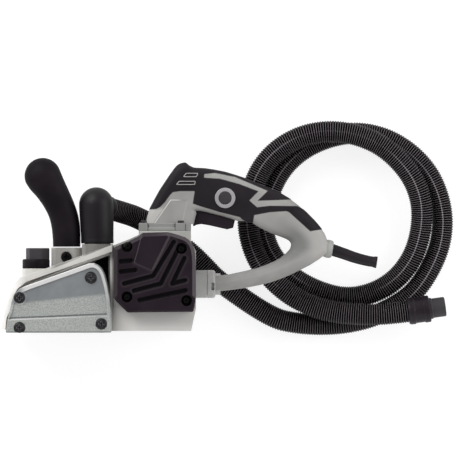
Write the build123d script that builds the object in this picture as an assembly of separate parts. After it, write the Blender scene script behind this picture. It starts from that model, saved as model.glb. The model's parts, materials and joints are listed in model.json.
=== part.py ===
from build123d import *
from math import acos, atan2, cos, degrees, hypot, pi, radians, sin, tan
import os

os.makedirs("parts", exist_ok=True)

# A wall chaser lying on its right side. X runs from its front tip to its cord end, Y runs up from
# its sole, and Z rises from the surface that it lies on. The last step moves everything, so that
# the origin is on that surface, under the middle of the machine.

# ---------------------------------------------------------------- driving dimensions, millimetres
run_fit = 0.05             # radial clearance of pins, shafts and screws
soft_gap = 0.3             # clearance of the belt and other soft pieces
split_gap = 0.02           # between two moulded halves or a lid and its seat

# Levels along Z
belt_cover_depth = 22.0    # belt cover, from the surface up to the housing's back
chamber_back = 48.0        # floor of the cutter chamber
box_back = 53.0            # back of the wide part of the motor housing
seat_level = 126.0         # face that both side covers sit on
cover_thickness = 12.0     # cast chamber cover
motor_cover_depth = 22.0
handle_mid = 88.0          # split plane of the handle
handle_half = 18.0         # half thickness of the handle

# Guard and chamber
guard_wall = 5.0
guard_outline = [(0, 4.5), (4, 23), (9, 42), (17, 62), (24, 71.5), (144, 114), (144, 2.5)]
roof_lip = 8.5             # height of the lip that stands over the chamber cover
roof_lip_depth = 9.0
lip_front = [(22, 57.5), (16.2, 47.7), (11.0, 27.2), (7.4, 19.2), (5.9, 4.5)]
ledge_end = 121.0
ledge_depth = 12.0
cover_outline = [(6.5, 0.6), (8, 19), (11.7, 27), (16.9, 47.5), (24, 57.5), (36.4, 62.6),
                 (115, 90.5), (121, 90.5), (131.3, 81.3), (136.5, 62), (141.7, 42.3), (143, 29), (143, 0.6)]
cover_rim = 5.0            # width of the raised rim
rim_height = 1.6
cover_ledge = 18.0         # height of the thick lower flange
cover_screw_places = [(24, 45.5), (24, 6.8), (116.4, 71.5), (130, 11.7)]
cover_boss_depth = 14.0
cover_boss_radius = 8.0

# Screws
big_head_radius = 6.8
big_head_height = 4.0
big_shank_radius = 2.5
screw_length = 15.0

# Motor
motor_x, motor_y = 197.0, 73.0
barrel_radius = 44.0
barrel_wall = 4.7
barrel_foot_radius = 38.0    # the drive end, drawn in so that the hose passes
barrel_foot_top = 30.5
box_wall = 4.5
base_top = 33.0            # foot of the motor housing behind the belt's level
motor_box = [(144, 2.5), (144, 113), (166, 121.5), (178, 127), (183, 131), (216, 131), (236, 123),
             (246, 117), (252, 106), (252, 30), (246, 2.5)]
motor_cover_outline = [(145.5, 46.5), (145.5, 111.5), (166.4, 121), (177, 125.5), (182, 130.4),
                       (215.8, 130.4), (222.3, 128), (235.3, 123), (244.4, 117.5), (250.9, 107),
                       (251.8, 88), (251.8, 45), (249.6, 28.6), (163.8, 26.7)]
motor_screw_places = [(164.5, 112.4), (233.3, 108.5), (163.2, 46.2), (239.8, 42.3)]
motor_recess_radius = 6.8
motor_rim = 4.5
motor_bolt_radius = 2.0
bolt_head_radius = 4.2
shaft_radius = 6.0
shaft_end_radius = 4.0
drive_bearing_radius = 16.0
drive_bearing_width = 10.0
end_bearing_radius = 11.0
end_bearing_width = 7.0
stator_bore = 22.0
armature_radius = 21.4
core_start, core_end = 52.0, 90.0
fan_radius = 36.0
fan_start, fan_width = 36.5, 6.5
commutator_radius = 13.0
commutator_start, commutator_end = 98.5, 110.0
brush_sleeve = 18.0
brush_length = 12.0
brush_half = 3.0

# Cutter and drive
spindle_x, spindle_y = 92.3, 40.2
spindle_radius = 7.5
spindle_bearing_radius = 16.0
spindle_bearing_width = 9.0
cutter_radius = 33.5
cutter_bore = 9.0
cutter_start, cutter_end = 62.0, 96.0
tooth_reach = 2.0
tooth_rows = 4
teeth_per_row = 8
belt_level = 13.0
belt_width = 10.0
belt_thickness = 2.6
motor_pulley_radius = 13.5
spindle_pulley_radius = 21.0
pulley_ribs = 4
belt_cover_wall = 2.4
belt_boss_radius = 4.8
belt_cover_motor = 36.0      # radius round the motor's pulley
belt_cover_spindle = 36.0    # radius round the spindle's pulley
belt_screw_reach = 31.8

# Sole and depth setting
hinge_x, hinge_y = 133.5, 6.5
hinge_ear_radius = 5.0
hinge_pin_radius = 3.0
sole_thickness = 4.0
sole_back, sole_front = 50.0, 108.0
sole_tip = 11.0
sole_swing = 17.0          # degrees from retracted to full cutting depth
sole_slot_margin = 4.5
knob_x = 44.5
knob_boss_radius = 18.0
knob_boss_top = 83.2
knob_collar_radius = 17.9
knob_collar_height = 12.4
knob_grip_side = 25.0
knob_grip_turn = 20.0
knob_grip_height = 14.3
screw_radius = 2.6         # depth screw, one piece with its knob
screw_end = 33.5
sleeve_radius = 4.8
sleeve_top = 41.0
cross_pin_radius = 2.0
lug_thickness = 4.0
lug_reach = 8.2              # from the slot's middle to the lug's sides
lug_rise = 4.7               # from the slot's middle to the lug's top
lug_corner = 4.2
lug_slot_spare = 1.0
lug_slot_play = 0.9
knob_turns = 3

# Dust outlet
elbow_x, elbow_z = 124.3, 92.0
elbow_radius = 21.8
elbow_bottom = 115.0
elbow_centre_y = 166.0
spigot_radius = 20.0
spigot_bore = 16.0
outlet = Vector(20.8, -6.5, -25.5)
outlet_radius = 17.0

# Handles
front_handle_x = 84.2
front_handle_base = 110.5
front_boss_radius = 19.9
stub_radius = 12.0
stub_bottom = 90.0
front_spot_level = 18.5
handle_screw_y = 98.0
flange_bottom, flange_top = 132.0, 142.4
flange_left, flange_right = 178.0, 245.7
flange_half = 27.0
neck_screw_offset = 22.3
grip_skin = 2.2
edge_round = 8.0
spigot_y = 63.0
tail_spigot_radius = 18.0
tail_spigot_end = 276.0
collar_start = 266.5
collar_radius = 18.4
collar_slot = (272.7, 275.9, 56, 65)    # X and Y limits of the slot in the collar's near side
trigger_pivot = (262.0, 166.0)
trigger_width = 20.0
trigger_pin_radius = 2.0
ring_x, ring_y = 290.0, 174.8
ring_radius = 13.3
button_radius = 8.0
button_travel = 4.0
switch_start, switch_end = 266.0, 306.0
switch_bottom, switch_top = 173.0, 192.0
switch_low, switch_high = 79.0, 92.5
plunger_bottom = 162.2

# Cord guard
guard_x, guard_y = 429.0, 107.6
guard_tilt = -15.8
cord_guard_length = 60.0
cord_guard_root = 7.8
cord_guard_tip = 6.6
cord_bore = 4.5

# Hose
hose_radius = 14.0
hose_bore = 11.2
rib_depth = 1.1
rib_pitch = 10.5


# ---------------------------------------------------------------------------- general helpers
def face_of(points):
    return make_face(Polyline(*points, close=True))


def prism(outline, low, high):
    face = face_of(outline) if isinstance(outline, list) else outline
    return Pos(0, 0, low) * extrude(face, high - low)


def rod(x, y, low, high, radius):
    return Pos(x, y, low) * Cylinder(radius, high - low, align=(Align.CENTER, Align.CENTER, Align.MIN))


def ring(x, y, low, high, outer, inner):
    return rod(x, y, low, high, outer) - rod(x, y, low - 1, high + 1, inner)


def post(x, z, low, high, radius):
    return Pos(x, low, z) * Rot(-90, 0, 0) * Cylinder(
        radius, high - low, align=(Align.CENTER, Align.CENTER, Align.MIN))


def bar(y, z, low, high, radius):
    return Pos(low, y, z) * Rot(0, 90, 0) * Cylinder(
        radius, high - low, align=(Align.CENTER, Align.CENTER, Align.MIN))


def block(x0, x1, y0, y1, z0, z1):
    return Pos((x0 + x1) / 2, (y0 + y1) / 2, (z0 + z1) / 2) * Box(x1 - x0, y1 - y0, z1 - z0)


def round_vertical(solid, radius, keep=lambda edge: True):
    edges = [edge for edge in solid.edges().filter_by(Axis.Z) if keep(edge)]
    return fillet(edges, radius)


def cross_recess(size, depth):
    bar_one = Box(size, size * 0.26, depth, align=(Align.CENTER, Align.CENTER, Align.MAX))
    return bar_one + Rot(0, 0, 90) * bar_one


def pan_screw(head_radius, head_height, shank_radius, length):
    """A cross-recess screw that points down -Z, with the underside of its head at z = 0."""
    head = Cylinder(head_radius, head_height, align=(Align.CENTER, Align.CENTER, Align.MIN))
    head = fillet(head.edges().sort_by(Axis.Z)[-1], head_height * 0.45)
    shank = Cylinder(shank_radius, length, align=(Align.CENTER, Align.CENTER, Align.MAX))
    return head + shank - Pos(0, 0, head_height) * cross_recess(head_radius * 1.1, head_height * 0.6)


def revolved(profile, axis_place):
    """Turn an (r, height) profile round a local Z axis and put it in place."""
    face = Plane.XZ * face_of(profile)
    return axis_place * revolve(face, Axis.Z)


def across(x, y, z=0.0):
    """Place of a turned part whose axis runs along Z."""
    return Pos(x, y, z)


# --------------------------------------------------------------------------------- main housing
spindle_fit = spindle_bearing_radius + run_fit
guard_face = face_of(guard_outline)
guard_inner = offset(guard_face, amount=-guard_wall, kind=Kind.INTERSECTION)
chamber_right = 144 - guard_wall
chamber_mouth = Pos((9.5 + chamber_right) / 2, 6) * Rectangle(chamber_right - 9.5, 20)


def roof_height(x):
    (x0, y0), (x1, y1) = guard_outline[4], guard_outline[5]
    return y0 + (x - x0) * (y1 - y0) / (x1 - x0)


def seat_ledge():
    """Ledge inside the roof and the front wall that the top edge of the chamber cover rests on."""
    below = roof_lip + 7.0
    inside = [(11, 18), (14, 27), (19, 44), (27, 56), (36, roof_height(36) - below),
              (ledge_end, roof_height(ledge_end) - below), (ledge_end, 130), (0, 130), (0, 18)]
    return prism(inside, seat_level - ledge_depth, seat_level) & prism(guard_face, 0, seat_level)


def cover_bosses():
    low = seat_level - cover_boss_depth
    solid = rod(*cover_screw_places[0], low, seat_level, cover_boss_radius)
    for place in cover_screw_places[1:]:
        solid += rod(*place, low, seat_level, cover_boss_radius)
    x, y = cover_screw_places[0]
    solid += block(11, x, y - 4, y + 4, low, seat_level)
    x, y = cover_screw_places[1]
    solid += block(3.5, x, y - 4, y + 8, low, seat_level)
    x, y = cover_screw_places[2]
    solid += block(x - 5, x + 5, y, roof_height(x) - 2, low, seat_level)
    x, y = cover_screw_places[3]
    solid += block(x, chamber_right + 1, y - 5, y + 5, low, seat_level)
    return solid & prism(guard_face, low, seat_level)


def under_motor_cover(face):
    """The part of an opening in the near wall that the motor cover hides."""
    hidden = offset(face_of(motor_cover_outline), amount=-motor_rim, kind=Kind.INTERSECTION)
    return prism(face, seat_level - box_wall - 1, seat_level + 1) & prism(hidden, 0, seat_level + 2)


def casting_pockets():
    """Hollows that leave the walls of the casting about as thick everywhere."""
    wall = guard_wall
    rim = belt_cover_face(-7)
    back = prism(guard_inner, belt_cover_depth - 1, chamber_back - wall)
    kept = prism(belt_cover_face(1), 0, 60) - prism(rim, 0, 60)
    kept += rod(spindle_x, spindle_y, 0, 60, spindle_bearing_radius + wall)
    kept += rod(motor_x, motor_y, 0, 60, barrel_radius)
    for x, y in belt_screw_places:
        kept += rod(x, y, 0, 60, 6)
    for x in (40, 80, 120):
        kept += block(x, x + 3, 0, 110, 0, 60)
    pockets = back - kept
    box_inside = offset(face_of(motor_box), amount=-box_wall, kind=Kind.INTERSECTION)
    pockets += prism(box_inside, box_back + 4, seat_level - box_wall) + under_motor_cover(box_inside)
    pockets -= rod(motor_x, motor_y, box_back, seat_level + 1, barrel_radius)
    base = block(150, 240, 7, base_top - 7, belt_cover_depth - 1, box_back - box_wall)
    return pockets + (base - prism(belt_cover_face(1), 0, 60))


def make_main_housing():
    shell = prism(guard_face, belt_cover_depth, seat_level)
    lip = guard_outline[:6] + [(x, roof_height(x) - roof_lip) for x in (144, 33)] + lip_front
    shell += prism(lip, seat_level, seat_level + roof_lip_depth)
    shell += prism(motor_box, box_back, seat_level)
    base = [(140, 2.5), (140, base_top), (250, base_top), (246, 2.5)]
    shell += prism(base, belt_cover_depth, box_back)
    shell += rod(motor_x, motor_y, belt_cover_depth, box_back, barrel_foot_radius)
    shell += rod(motor_x, motor_y, barrel_foot_top, box_back, barrel_radius)
    shell -= casting_pockets()
    shell += block(flange_left, flange_right, 112, flange_bottom - split_gap, handle_mid - flange_half,
                   handle_mid + flange_half)
    shell += post(knob_x, handle_mid, 66, knob_boss_top, knob_boss_radius)
    shell += post(front_handle_x, handle_mid, roof_height(front_handle_x) - 14,
                  front_handle_base - split_gap, front_boss_radius)
    shell += post(elbow_x, elbow_z, roof_height(elbow_x) - 12, elbow_bottom + 12, spigot_radius - 3)
    shell += post(elbow_x, elbow_z, roof_height(elbow_x) - 12, elbow_bottom - split_gap, spigot_radius)
    shell -= post(knob_x, handle_mid, knob_boss_top, 120, knob_collar_radius + 0.6)
    shell -= prism(guard_inner, chamber_back, seat_level + 1)
    shell -= prism(chamber_mouth, chamber_back, seat_level + 1)
    shell += cover_bosses() + seat_ledge()
    for x, y in motor_screw_places:
        shell += rod(x, y, box_back + 1, seat_level, 6.5)
    # Motor cavity, bearing seats and shaft holes
    shell -= rod(motor_x, motor_y, fan_start - 2, seat_level + 1, barrel_radius - barrel_wall)
    shell -= rod(motor_x, motor_y, belt_cover_depth + 2, fan_start, drive_bearing_radius + run_fit)
    shell -= rod(motor_x, motor_y, belt_cover_depth - 1, belt_cover_depth + 3, shaft_radius + 4)
    shell -= rod(spindle_x, spindle_y, belt_cover_depth + 2, chamber_back - 2, spindle_fit)
    shell -= rod(spindle_x, spindle_y, belt_cover_depth - 1, chamber_back + 1, spindle_radius + 5)
    # Dust way, depth-rod guide and screw holes
    shell -= post(elbow_x, elbow_z, 70, elbow_bottom + 13, spigot_bore - 3)
    shell -= post(knob_x, handle_mid, 50, knob_boss_top + 1, screw_radius + run_fit)
    for place in cover_screw_places:
        shell -= rod(*place, seat_level - screw_length + cover_thickness - 3, seat_level + 1,
                     big_shank_radius + run_fit)
    for place in motor_screw_places:
        shell -= rod(*place, seat_level - 14, seat_level + 1, motor_bolt_radius + run_fit)
    for x, z in neck_screw_places:
        shell -= post(x, z, flange_bottom - 10, flange_bottom + 1, motor_bolt_radius + run_fit)
    for x, y in belt_screw_places:
        shell -= rod(x, y, belt_cover_depth - 1, belt_cover_depth + 9, motor_bolt_radius + run_fit)
    for x, y in spigot_screw_places:
        shell -= bar(x, y, 242, 253, motor_bolt_radius + run_fit)
    shell -= post(front_handle_x, handle_mid, stub_bottom - split_gap, front_handle_base + 1, stub_radius)
    shell -= rod(front_handle_x, handle_screw_y, handle_mid, handle_mid + 30, big_shank_radius + run_fit)
    shell -= rod(front_handle_x, handle_screw_y, handle_mid + front_spot_level, 125, big_head_radius + 0.5)
    shell -= rod(hinge_x, hinge_y, chamber_back - 5, seat_level - 5, hinge_pin_radius + run_fit)
    # Air slots in the rear wall of the motor box
    for row in range(5):
        y = 88 + row * 6
        shell -= block(246, 256, y, y + 3, box_back + 8, seat_level - 12)
    return shell


neck_screw_places = [(x, handle_mid + side * neck_screw_offset) for x in (184.6, 232.7) for side in (-1, 1)]


def around(x, y, reach, turn):
    return x + reach * cos(radians(turn)), y + reach * sin(radians(turn))


belt_screw_places = [around(spindle_x, spindle_y, belt_screw_reach, turn) for turn in (205, 80)]
belt_screw_places += [around(motor_x, motor_y, belt_screw_reach, turn) for turn in (-20, 110, -115)]
spigot_screw_places = [(spigot_y + 5.6, handle_mid), (spigot_y - 5.6, handle_mid)]


# ----------------------------------------------------------------------------------- side covers
def make_chamber_cover():
    top = seat_level + cover_thickness
    plate = prism(cover_outline, seat_level + split_gap, top - rim_height)
    rim = prism(cover_outline, seat_level + 2, top)
    inner = offset(face_of(cover_outline), amount=-cover_rim, kind=Kind.INTERSECTION)
    rim -= prism(inner, seat_level, top + 1)
    cover = plate + rim
    cover += block(8.2, 142.5, 1.0, cover_ledge, top - 4, top)
    for x, y in cover_screw_places:
        cover += rod(x, y, top - 6, top, big_head_radius + 3.2) & prism(cover_outline, seat_level, top)
    for x, y in cover_screw_places:
        cover -= rod(x, y, top - 3, top + 1, big_head_radius + 0.6)
        cover -= rod(x, y, seat_level - 1, top + 1, big_shank_radius + run_fit)
    pocket = offset(face_of(cover_outline), amount=-(cover_rim + 9), kind=Kind.INTERSECTION)
    return cover - prism(pocket, seat_level - 1, seat_level + 4)


def make_cover_screws():
    seat = seat_level + cover_thickness - 3
    screw = pan_screw(big_head_radius, big_head_height, big_shank_radius, screw_length)
    return [Pos(x, y, seat) * screw for x, y in cover_screw_places]


groove_width = 5.0
motor_grooves = [
    [(222.3, 116.4), (195, 71), (156, 64.4)],
    [(231.4, 104.7), (208, 61.8), (169, 55.3)],
    [(239.2, 91.7), (221, 61.8), (240.5, 67)],
    [(240.5, 56.6), (176.8, 42.3)],
]
vent_slots = [[(153.4, 93), (169, 93)], [(153.4, 80), (175.5, 82.5)]]


def groove_face(path):
    """A band of even width along a bent line, with round ends."""
    band = None
    for (x0, y0), (x1, y1) in zip(path, path[1:]):
        run = SlotCenterToCenter(hypot(x1 - x0, y1 - y0), groove_width)
        piece = Pos((x0 + x1) / 2, (y0 + y1) / 2) * Rot(0, 0, degrees(atan2(y1 - y0, x1 - x0))) * run
        band = piece if band is None else band + piece
    return band


def make_motor_cover():
    top = seat_level + motor_cover_depth
    cover = prism(motor_cover_outline, seat_level + split_gap, top)
    cover = chamfer(cover.faces().sort_by(Axis.Z)[-1].edges(), 3.5)
    for path in motor_grooves + vent_slots:
        cover -= prism(groove_face(path), top - 4, top + 1)
    cover -= rod(motor_x, motor_y, seat_level - 1, seat_level + 8, barrel_radius - barrel_wall - 3)
    cover += rod(motor_x, motor_y, commutator_end + 3, seat_level + 9, end_bearing_radius + 3.5)
    cover -= rod(motor_x, motor_y, 0, commutator_end + 3 + end_bearing_width + 1,
                 end_bearing_radius + run_fit)
    for x, y in motor_screw_places:
        cover -= rod(x, y, top - 8, top + 1, motor_recess_radius)
        cover -= rod(x, y, seat_level - 1, top, motor_bolt_radius + run_fit)
    return cover


def make_motor_cover_screws():
    seat = seat_level + motor_cover_depth - 8
    screw = pan_screw(bolt_head_radius, 3.0, motor_bolt_radius, seat - seat_level + 12)
    return [Pos(x, y, seat) * screw for x, y in motor_screw_places]


def belt_cover_face(grow=0.0):
    """Outline round both pulleys: two discs and the straight band between them."""
    dx, dy = spindle_x - motor_x, spindle_y - motor_y
    ra, rb = belt_cover_motor + grow, belt_cover_spindle + grow
    length = hypot(dx, dy)
    tilt = atan2(dy, dx)
    swing = acos((ra - rb) / length)
    corners = []
    for side in (swing, -swing):
        for x, y, r in ((motor_x, motor_y, ra), (spindle_x, spindle_y, rb)):
            corners.append((x + r * cos(tilt + side), y + r * sin(tilt + side)))
    corners = [corners[0], corners[1], corners[3], corners[2]]
    band = face_of(corners)
    return band + Pos(motor_x, motor_y) * Circle(ra) + Pos(spindle_x, spindle_y) * Circle(rb)


def make_belt_cover():
    cover = prism(belt_cover_face(), 0, belt_cover_depth - split_gap)
    cover = chamfer(cover.faces().sort_by(Axis.Z)[0].edges(), 3)
    cover -= prism(belt_cover_face(-belt_cover_wall - 2), belt_cover_wall + 1, belt_cover_depth + 1)
    for x, y in belt_screw_places:
        cover += rod(x, y, 1.5, belt_cover_depth - split_gap, belt_boss_radius) & prism(
            belt_cover_face(), 0, belt_cover_depth)
    for x, y in belt_screw_places:
        cover -= rod(x, y, -1, belt_cover_depth + 1, motor_bolt_radius + run_fit)
        cover -= rod(x, y, -1, 4.6, bolt_head_radius + 0.4)
    for row in range(6):
        x = 120 + row * 7
        y = spindle_y + (x - spindle_x) * (motor_y - spindle_y) / (motor_x - spindle_x)
        cover -= block(x, x + 3, y - 16, y + 16, -1, belt_cover_wall - 1.2)
    return cover


def make_belt_cover_screws():
    screw = Rot(180, 0, 0) * pan_screw(bolt_head_radius, 3.0, motor_bolt_radius, belt_cover_depth + 3)
    return [Pos(x, y, 4.6) * screw for x, y in belt_screw_places]


# ------------------------------------------------------------------------------ motor internals
def make_armature_shaft():
    long_part = rod(motor_x, motor_y, 6, commutator_end + 3, shaft_radius - run_fit)
    return long_part + rod(motor_x, motor_y, commutator_end, commutator_end + 10, shaft_end_radius - run_fit)


def make_armature_core():
    core = rod(motor_x, motor_y, core_start, core_end, armature_radius)
    for index in range(12):
        slot = rod(armature_radius, 0, core_start - 1, core_end + 1, 1.6)
        core -= Pos(motor_x, motor_y, 0) * Rot(0, 0, index * 30) * slot
    for low, high in ((fan_start + fan_width + 1, core_start), (core_end, commutator_start - 0.5)):
        winding = rod(motor_x, motor_y, low, high, armature_radius - 4)
        core += fillet(winding.edges().filter_by(GeomType.CIRCLE), 2.5)
    return core - rod(motor_x, motor_y, 0, 200, shaft_radius)


def make_commutator():
    body = ring(motor_x, motor_y, commutator_start, commutator_end, commutator_radius, shaft_radius)
    for index in range(24):
        cut = Pos(motor_x, motor_y, 0) * Rot(0, 0, index * 15) * block(
            commutator_radius - 1.2, commutator_radius + 1, -0.3, 0.3, commutator_start + 2, 200)
        body -= cut
    return body


def make_cooling_fan():
    end = fan_start + fan_width
    fan = ring(motor_x, motor_y, fan_start, fan_start + 1.6, fan_radius, shaft_radius)
    fan += ring(motor_x, motor_y, fan_start, end, shaft_radius + 4, shaft_radius)
    blade = block(shaft_radius + 3, fan_radius - 1, -0.8, 0.8, fan_start + 1, end)
    for index in range(11):
        fan += Pos(motor_x, motor_y, 0) * Rot(0, 0, index * 360 / 11) * blade
    return fan


def make_stator_core():
    """Laminated core pressed into the barrel, with four flats that let the air past."""
    reach = barrel_radius - barrel_wall - run_fit
    core = ring(motor_x, motor_y, core_start, core_end, reach, stator_bore)
    for side in (45, 135, 225, 315):
        flat = block(reach - 2.5, reach + 2, -14, 14, core_start - 1, core_end + 1)
        core -= Pos(motor_x, motor_y, 0) * Rot(0, 0, side) * flat
    for side in (0, 180):
        slot = block(26, 35, -12, 12, core_start - 1, core_end + 1)
        core -= Pos(motor_x, motor_y, 0) * Rot(0, 0, side) * slot
    return core


def make_field_coils():
    """Two coils: a bundle in each pole slot and a half ring over each end of the core."""
    coils = []
    centre = Pos(motor_x, motor_y, 0)
    for low, high in ((core_start - 6, core_start), (core_end, core_end + 6)):
        loop = ring(0, 0, low, high, 35, 25) - block(-5, 5, -50, 50, 0, 200)
        coils.append(centre * fillet(loop.edges().filter_by(GeomType.CIRCLE), 1.8))
    for side in (0, 180):
        bundle = block(26.2, 34.8, -11.8, 11.8, core_start + split_gap, core_end - split_gap)
        coils.append(centre * Rot(0, 0, side) * bundle)
    return coils


def bearing(x, y, low, width, outer, inner):
    """A shielded ball bearing: two rings and a sunk shield in one solid."""
    body = ring(x, y, low, low + width, outer, inner)
    for level in (low, low + width):
        body -= ring(x, y, level - 0.5, level + 0.5, outer - 2.2, inner + 2.2)
    return body


def make_brush_gear():
    holders, brushes = [], []
    mid = (commutator_start + commutator_end) / 2
    for side in (0, 180):
        place = Pos(motor_x, motor_y, mid) * Rot(0, 0, side)
        start = commutator_radius + 1.5
        reach = barrel_radius - barrel_wall - run_fit
        sleeve = block(start, start + brush_sleeve, -5, 5, -4.5, 4.5)
        cap = block(start + brush_sleeve, reach + 1, -7, 7, -5, 5)
        channel = block(start - 1, start + brush_sleeve - 3, -brush_half - 0.1, brush_half + 0.1,
                        -brush_half - 0.1, brush_half + 0.1)
        holders.append(place * ((sleeve + cap - channel) & rod(0, 0, -20, 20, reach)))
        brush = block(commutator_radius + run_fit, commutator_radius + brush_length, -brush_half, brush_half,
                      -brush_half, brush_half)
        brushes.append(place * brush)
    return holders, brushes


# ------------------------------------------------------------------------------- belt and cutter
def pulley_profile(radius, bore, low, high):
    """Half section of a pulley with V grooves for a ribbed belt."""
    points = [(bore, low), (radius + 1.5, low), (radius + 1.5, low + 1.0)]
    width = belt_width
    pitch = width / pulley_ribs
    start = belt_level - width / 2
    for index in range(pulley_ribs):
        z = start + index * pitch
        points += [(radius, z), (radius - 1.6, z + pitch / 2)]
    points += [(radius, start + width), (radius + 1.5, high - 1.0), (radius + 1.5, high), (bore, high)]
    return points


def make_pulley(x, y, radius, bore):
    low, high = belt_level - belt_width / 2 - 2, belt_level + belt_width / 2 + 2
    return revolved(pulley_profile(radius, bore, low, high), across(x, y))


def belt_loop_face(grow):
    dx, dy = spindle_x - motor_x, spindle_y - motor_y
    ra, rb = motor_pulley_radius + grow, spindle_pulley_radius + grow
    length = hypot(dx, dy)
    tilt = atan2(dy, dx)
    swing = acos((ra - rb) / length)
    upper, lower = [], []
    for side, corners in ((swing, upper), (-swing, lower)):
        for x, y, r in ((motor_x, motor_y, ra), (spindle_x, spindle_y, rb)):
            corners.append((x + r * cos(tilt + side), y + r * sin(tilt + side)))
    band = face_of([upper[0], upper[1], lower[1], lower[0]])
    return band + Pos(motor_x, motor_y) * Circle(ra) + Pos(spindle_x, spindle_y) * Circle(rb)


def make_drive_belt():
    low = belt_level - belt_width / 2 + 0.2
    loop = prism(belt_loop_face(soft_gap + belt_thickness), low, low + belt_width - 0.4)
    return loop - prism(belt_loop_face(soft_gap), low - 1, low + belt_width + 1)


def make_spindle():
    shaft = rod(spindle_x, spindle_y, 6, cutter_end + 4, spindle_radius - run_fit)
    return shaft + rod(spindle_x, spindle_y, chamber_back + 2, cutter_start, cutter_bore + 5)


def make_cutter_drum():
    drum = ring(spindle_x, spindle_y, cutter_start, cutter_end, cutter_radius, spindle_radius)
    drum = chamfer(drum.edges().filter_by(GeomType.CIRCLE).sort_by(SortBy.RADIUS)[-2:], 1.5)
    pitch = (cutter_end - cutter_start) / tooth_rows
    for row in range(tooth_rows):
        for index in range(teeth_per_row):
            angle = index * 360 / teeth_per_row + row * 360 / teeth_per_row / tooth_rows
            gullet = block(cutter_radius - 5, cutter_radius + 4, 0, 9, cutter_start + row * pitch + 0.6,
                           cutter_start + (row + 1) * pitch - 0.6)
            drum -= Pos(spindle_x, spindle_y, 0) * Rot(0, 0, angle) * gullet
    return drum


def make_carbide_teeth():
    teeth = []
    pitch = (cutter_end - cutter_start) / tooth_rows
    for row in range(tooth_rows):
        for index in range(teeth_per_row):
            angle = index * 360 / teeth_per_row + row * 360 / teeth_per_row / tooth_rows
            z = cutter_start + row * pitch
            blank = prism([(cutter_radius - 5, 0), (cutter_radius + tooth_reach, 0),
                           (cutter_radius + tooth_reach - 1.2, 2.6), (cutter_radius - 5, 2.6)],
                          z + 0.8, z + pitch - 0.8)
            teeth.append(Pos(spindle_x, spindle_y, 0) * Rot(0, 0, angle) * blank)
    return teeth


def make_cutter_bolt():
    washer = ring(spindle_x, spindle_y, cutter_end, cutter_end + 3, 15, spindle_radius)
    head = Pos(spindle_x, spindle_y, cutter_end + 3) * extrude(RegularPolygon(11, 6), 8)
    return washer + head - rod(spindle_x, spindle_y, 0, cutter_end + 4, spindle_radius)


def make_spindle_seal():
    return ring(spindle_x, spindle_y, chamber_back - 2 + split_gap, chamber_back - split_gap,
                spindle_radius + 5 - run_fit, spindle_radius + run_fit)


# ---------------------------------------------------------------------------- sole and depth knob
slot_low = cutter_start - sole_slot_margin
slot_high = cutter_end + sole_slot_margin
lug_y = hinge_y + 9.0
lug_inset = sleeve_radius + 0.6
pin_arm = hinge_x - knob_x
sleeve_travel = pin_arm * tan(radians(sole_swing)) + (lug_y - hinge_y) * (1 / cos(radians(sole_swing)) - 1)
pin_drift = pin_arm * (1 - cos(radians(sole_swing))) + (lug_y - hinge_y) * sin(radians(sole_swing))
lug_x = knob_x - pin_drift / 2


def make_sole_plate():
    outline = [(sole_tip, 1.8), (sole_tip, sole_thickness), (hinge_x, sole_thickness), (hinge_x, 0),
               (sole_tip + 4, 0)]
    plate = prism(outline, sole_back, sole_front)
    plate -= block(spindle_x - 40, spindle_x + 37, -1, sole_thickness + 1, slot_low, slot_high)
    for z0, z1 in ((sole_back, sole_back + 6), (slot_high + 0.5, sole_front)):
        plate += rod(hinge_x, hinge_y, z0, z1, hinge_ear_radius)
        plate += block(hinge_x - hinge_ear_radius, hinge_x, 0.5, hinge_y, z0, z1)
    plate -= rod(hinge_x, hinge_y, 0, 200, hinge_pin_radius + run_fit)
    for z0 in (handle_mid - lug_inset - lug_thickness, handle_mid + lug_inset):
        ear = block(lug_x - lug_reach, lug_x + lug_reach, 0.5, lug_y + lug_rise, z0, z0 + lug_thickness)
        plate += fillet(ear.edges().filter_by(Axis.Z).sort_by(Axis.Y)[-2:], lug_corner)
    slot = SlotCenterToCenter(pin_drift + lug_slot_spare, 2 * (cross_pin_radius + lug_slot_play))
    return plate - Pos(lug_x, lug_y, 0) * extrude(slot, 200)


def make_depth_sleeve():
    """The nut tube that the depth screw draws up, with a pin on each side for the sole's lugs."""
    stem = post(knob_x, handle_mid, lug_y - 3.2, sleeve_top, sleeve_radius)
    reach = lug_inset + lug_thickness
    pin = rod(knob_x, lug_y, handle_mid - reach, handle_mid + reach, cross_pin_radius)
    return stem + pin - post(knob_x, handle_mid, 0, sleeve_top + 1, screw_radius + run_fit)


def make_depth_knob():
    base = knob_boss_top + split_gap
    collar = post(knob_x, handle_mid, base, base + knob_collar_height, knob_collar_radius)
    collar = chamfer(collar.edges().filter_by(GeomType.CIRCLE), 0.8)
    top = base + knob_collar_height + knob_grip_height
    plane = Plane(origin=(knob_x, base + knob_collar_height - 1, handle_mid), z_dir=(0, 1, 0))
    square = plane * Rot(0, 0, knob_grip_turn) * RectangleRounded(knob_grip_side, knob_grip_side, 4)
    grip = extrude(square, knob_grip_height + 1)
    grip = fillet(grip.faces().sort_by(Axis.Y)[-1].edges(), 1.8)
    return collar + grip + post(knob_x, handle_mid, screw_end, base + 2, screw_radius)


def make_hinge_pin():
    return rod(hinge_x, hinge_y, chamber_back - 5 + run_fit, seat_level - 5 - run_fit, hinge_pin_radius)


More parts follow.
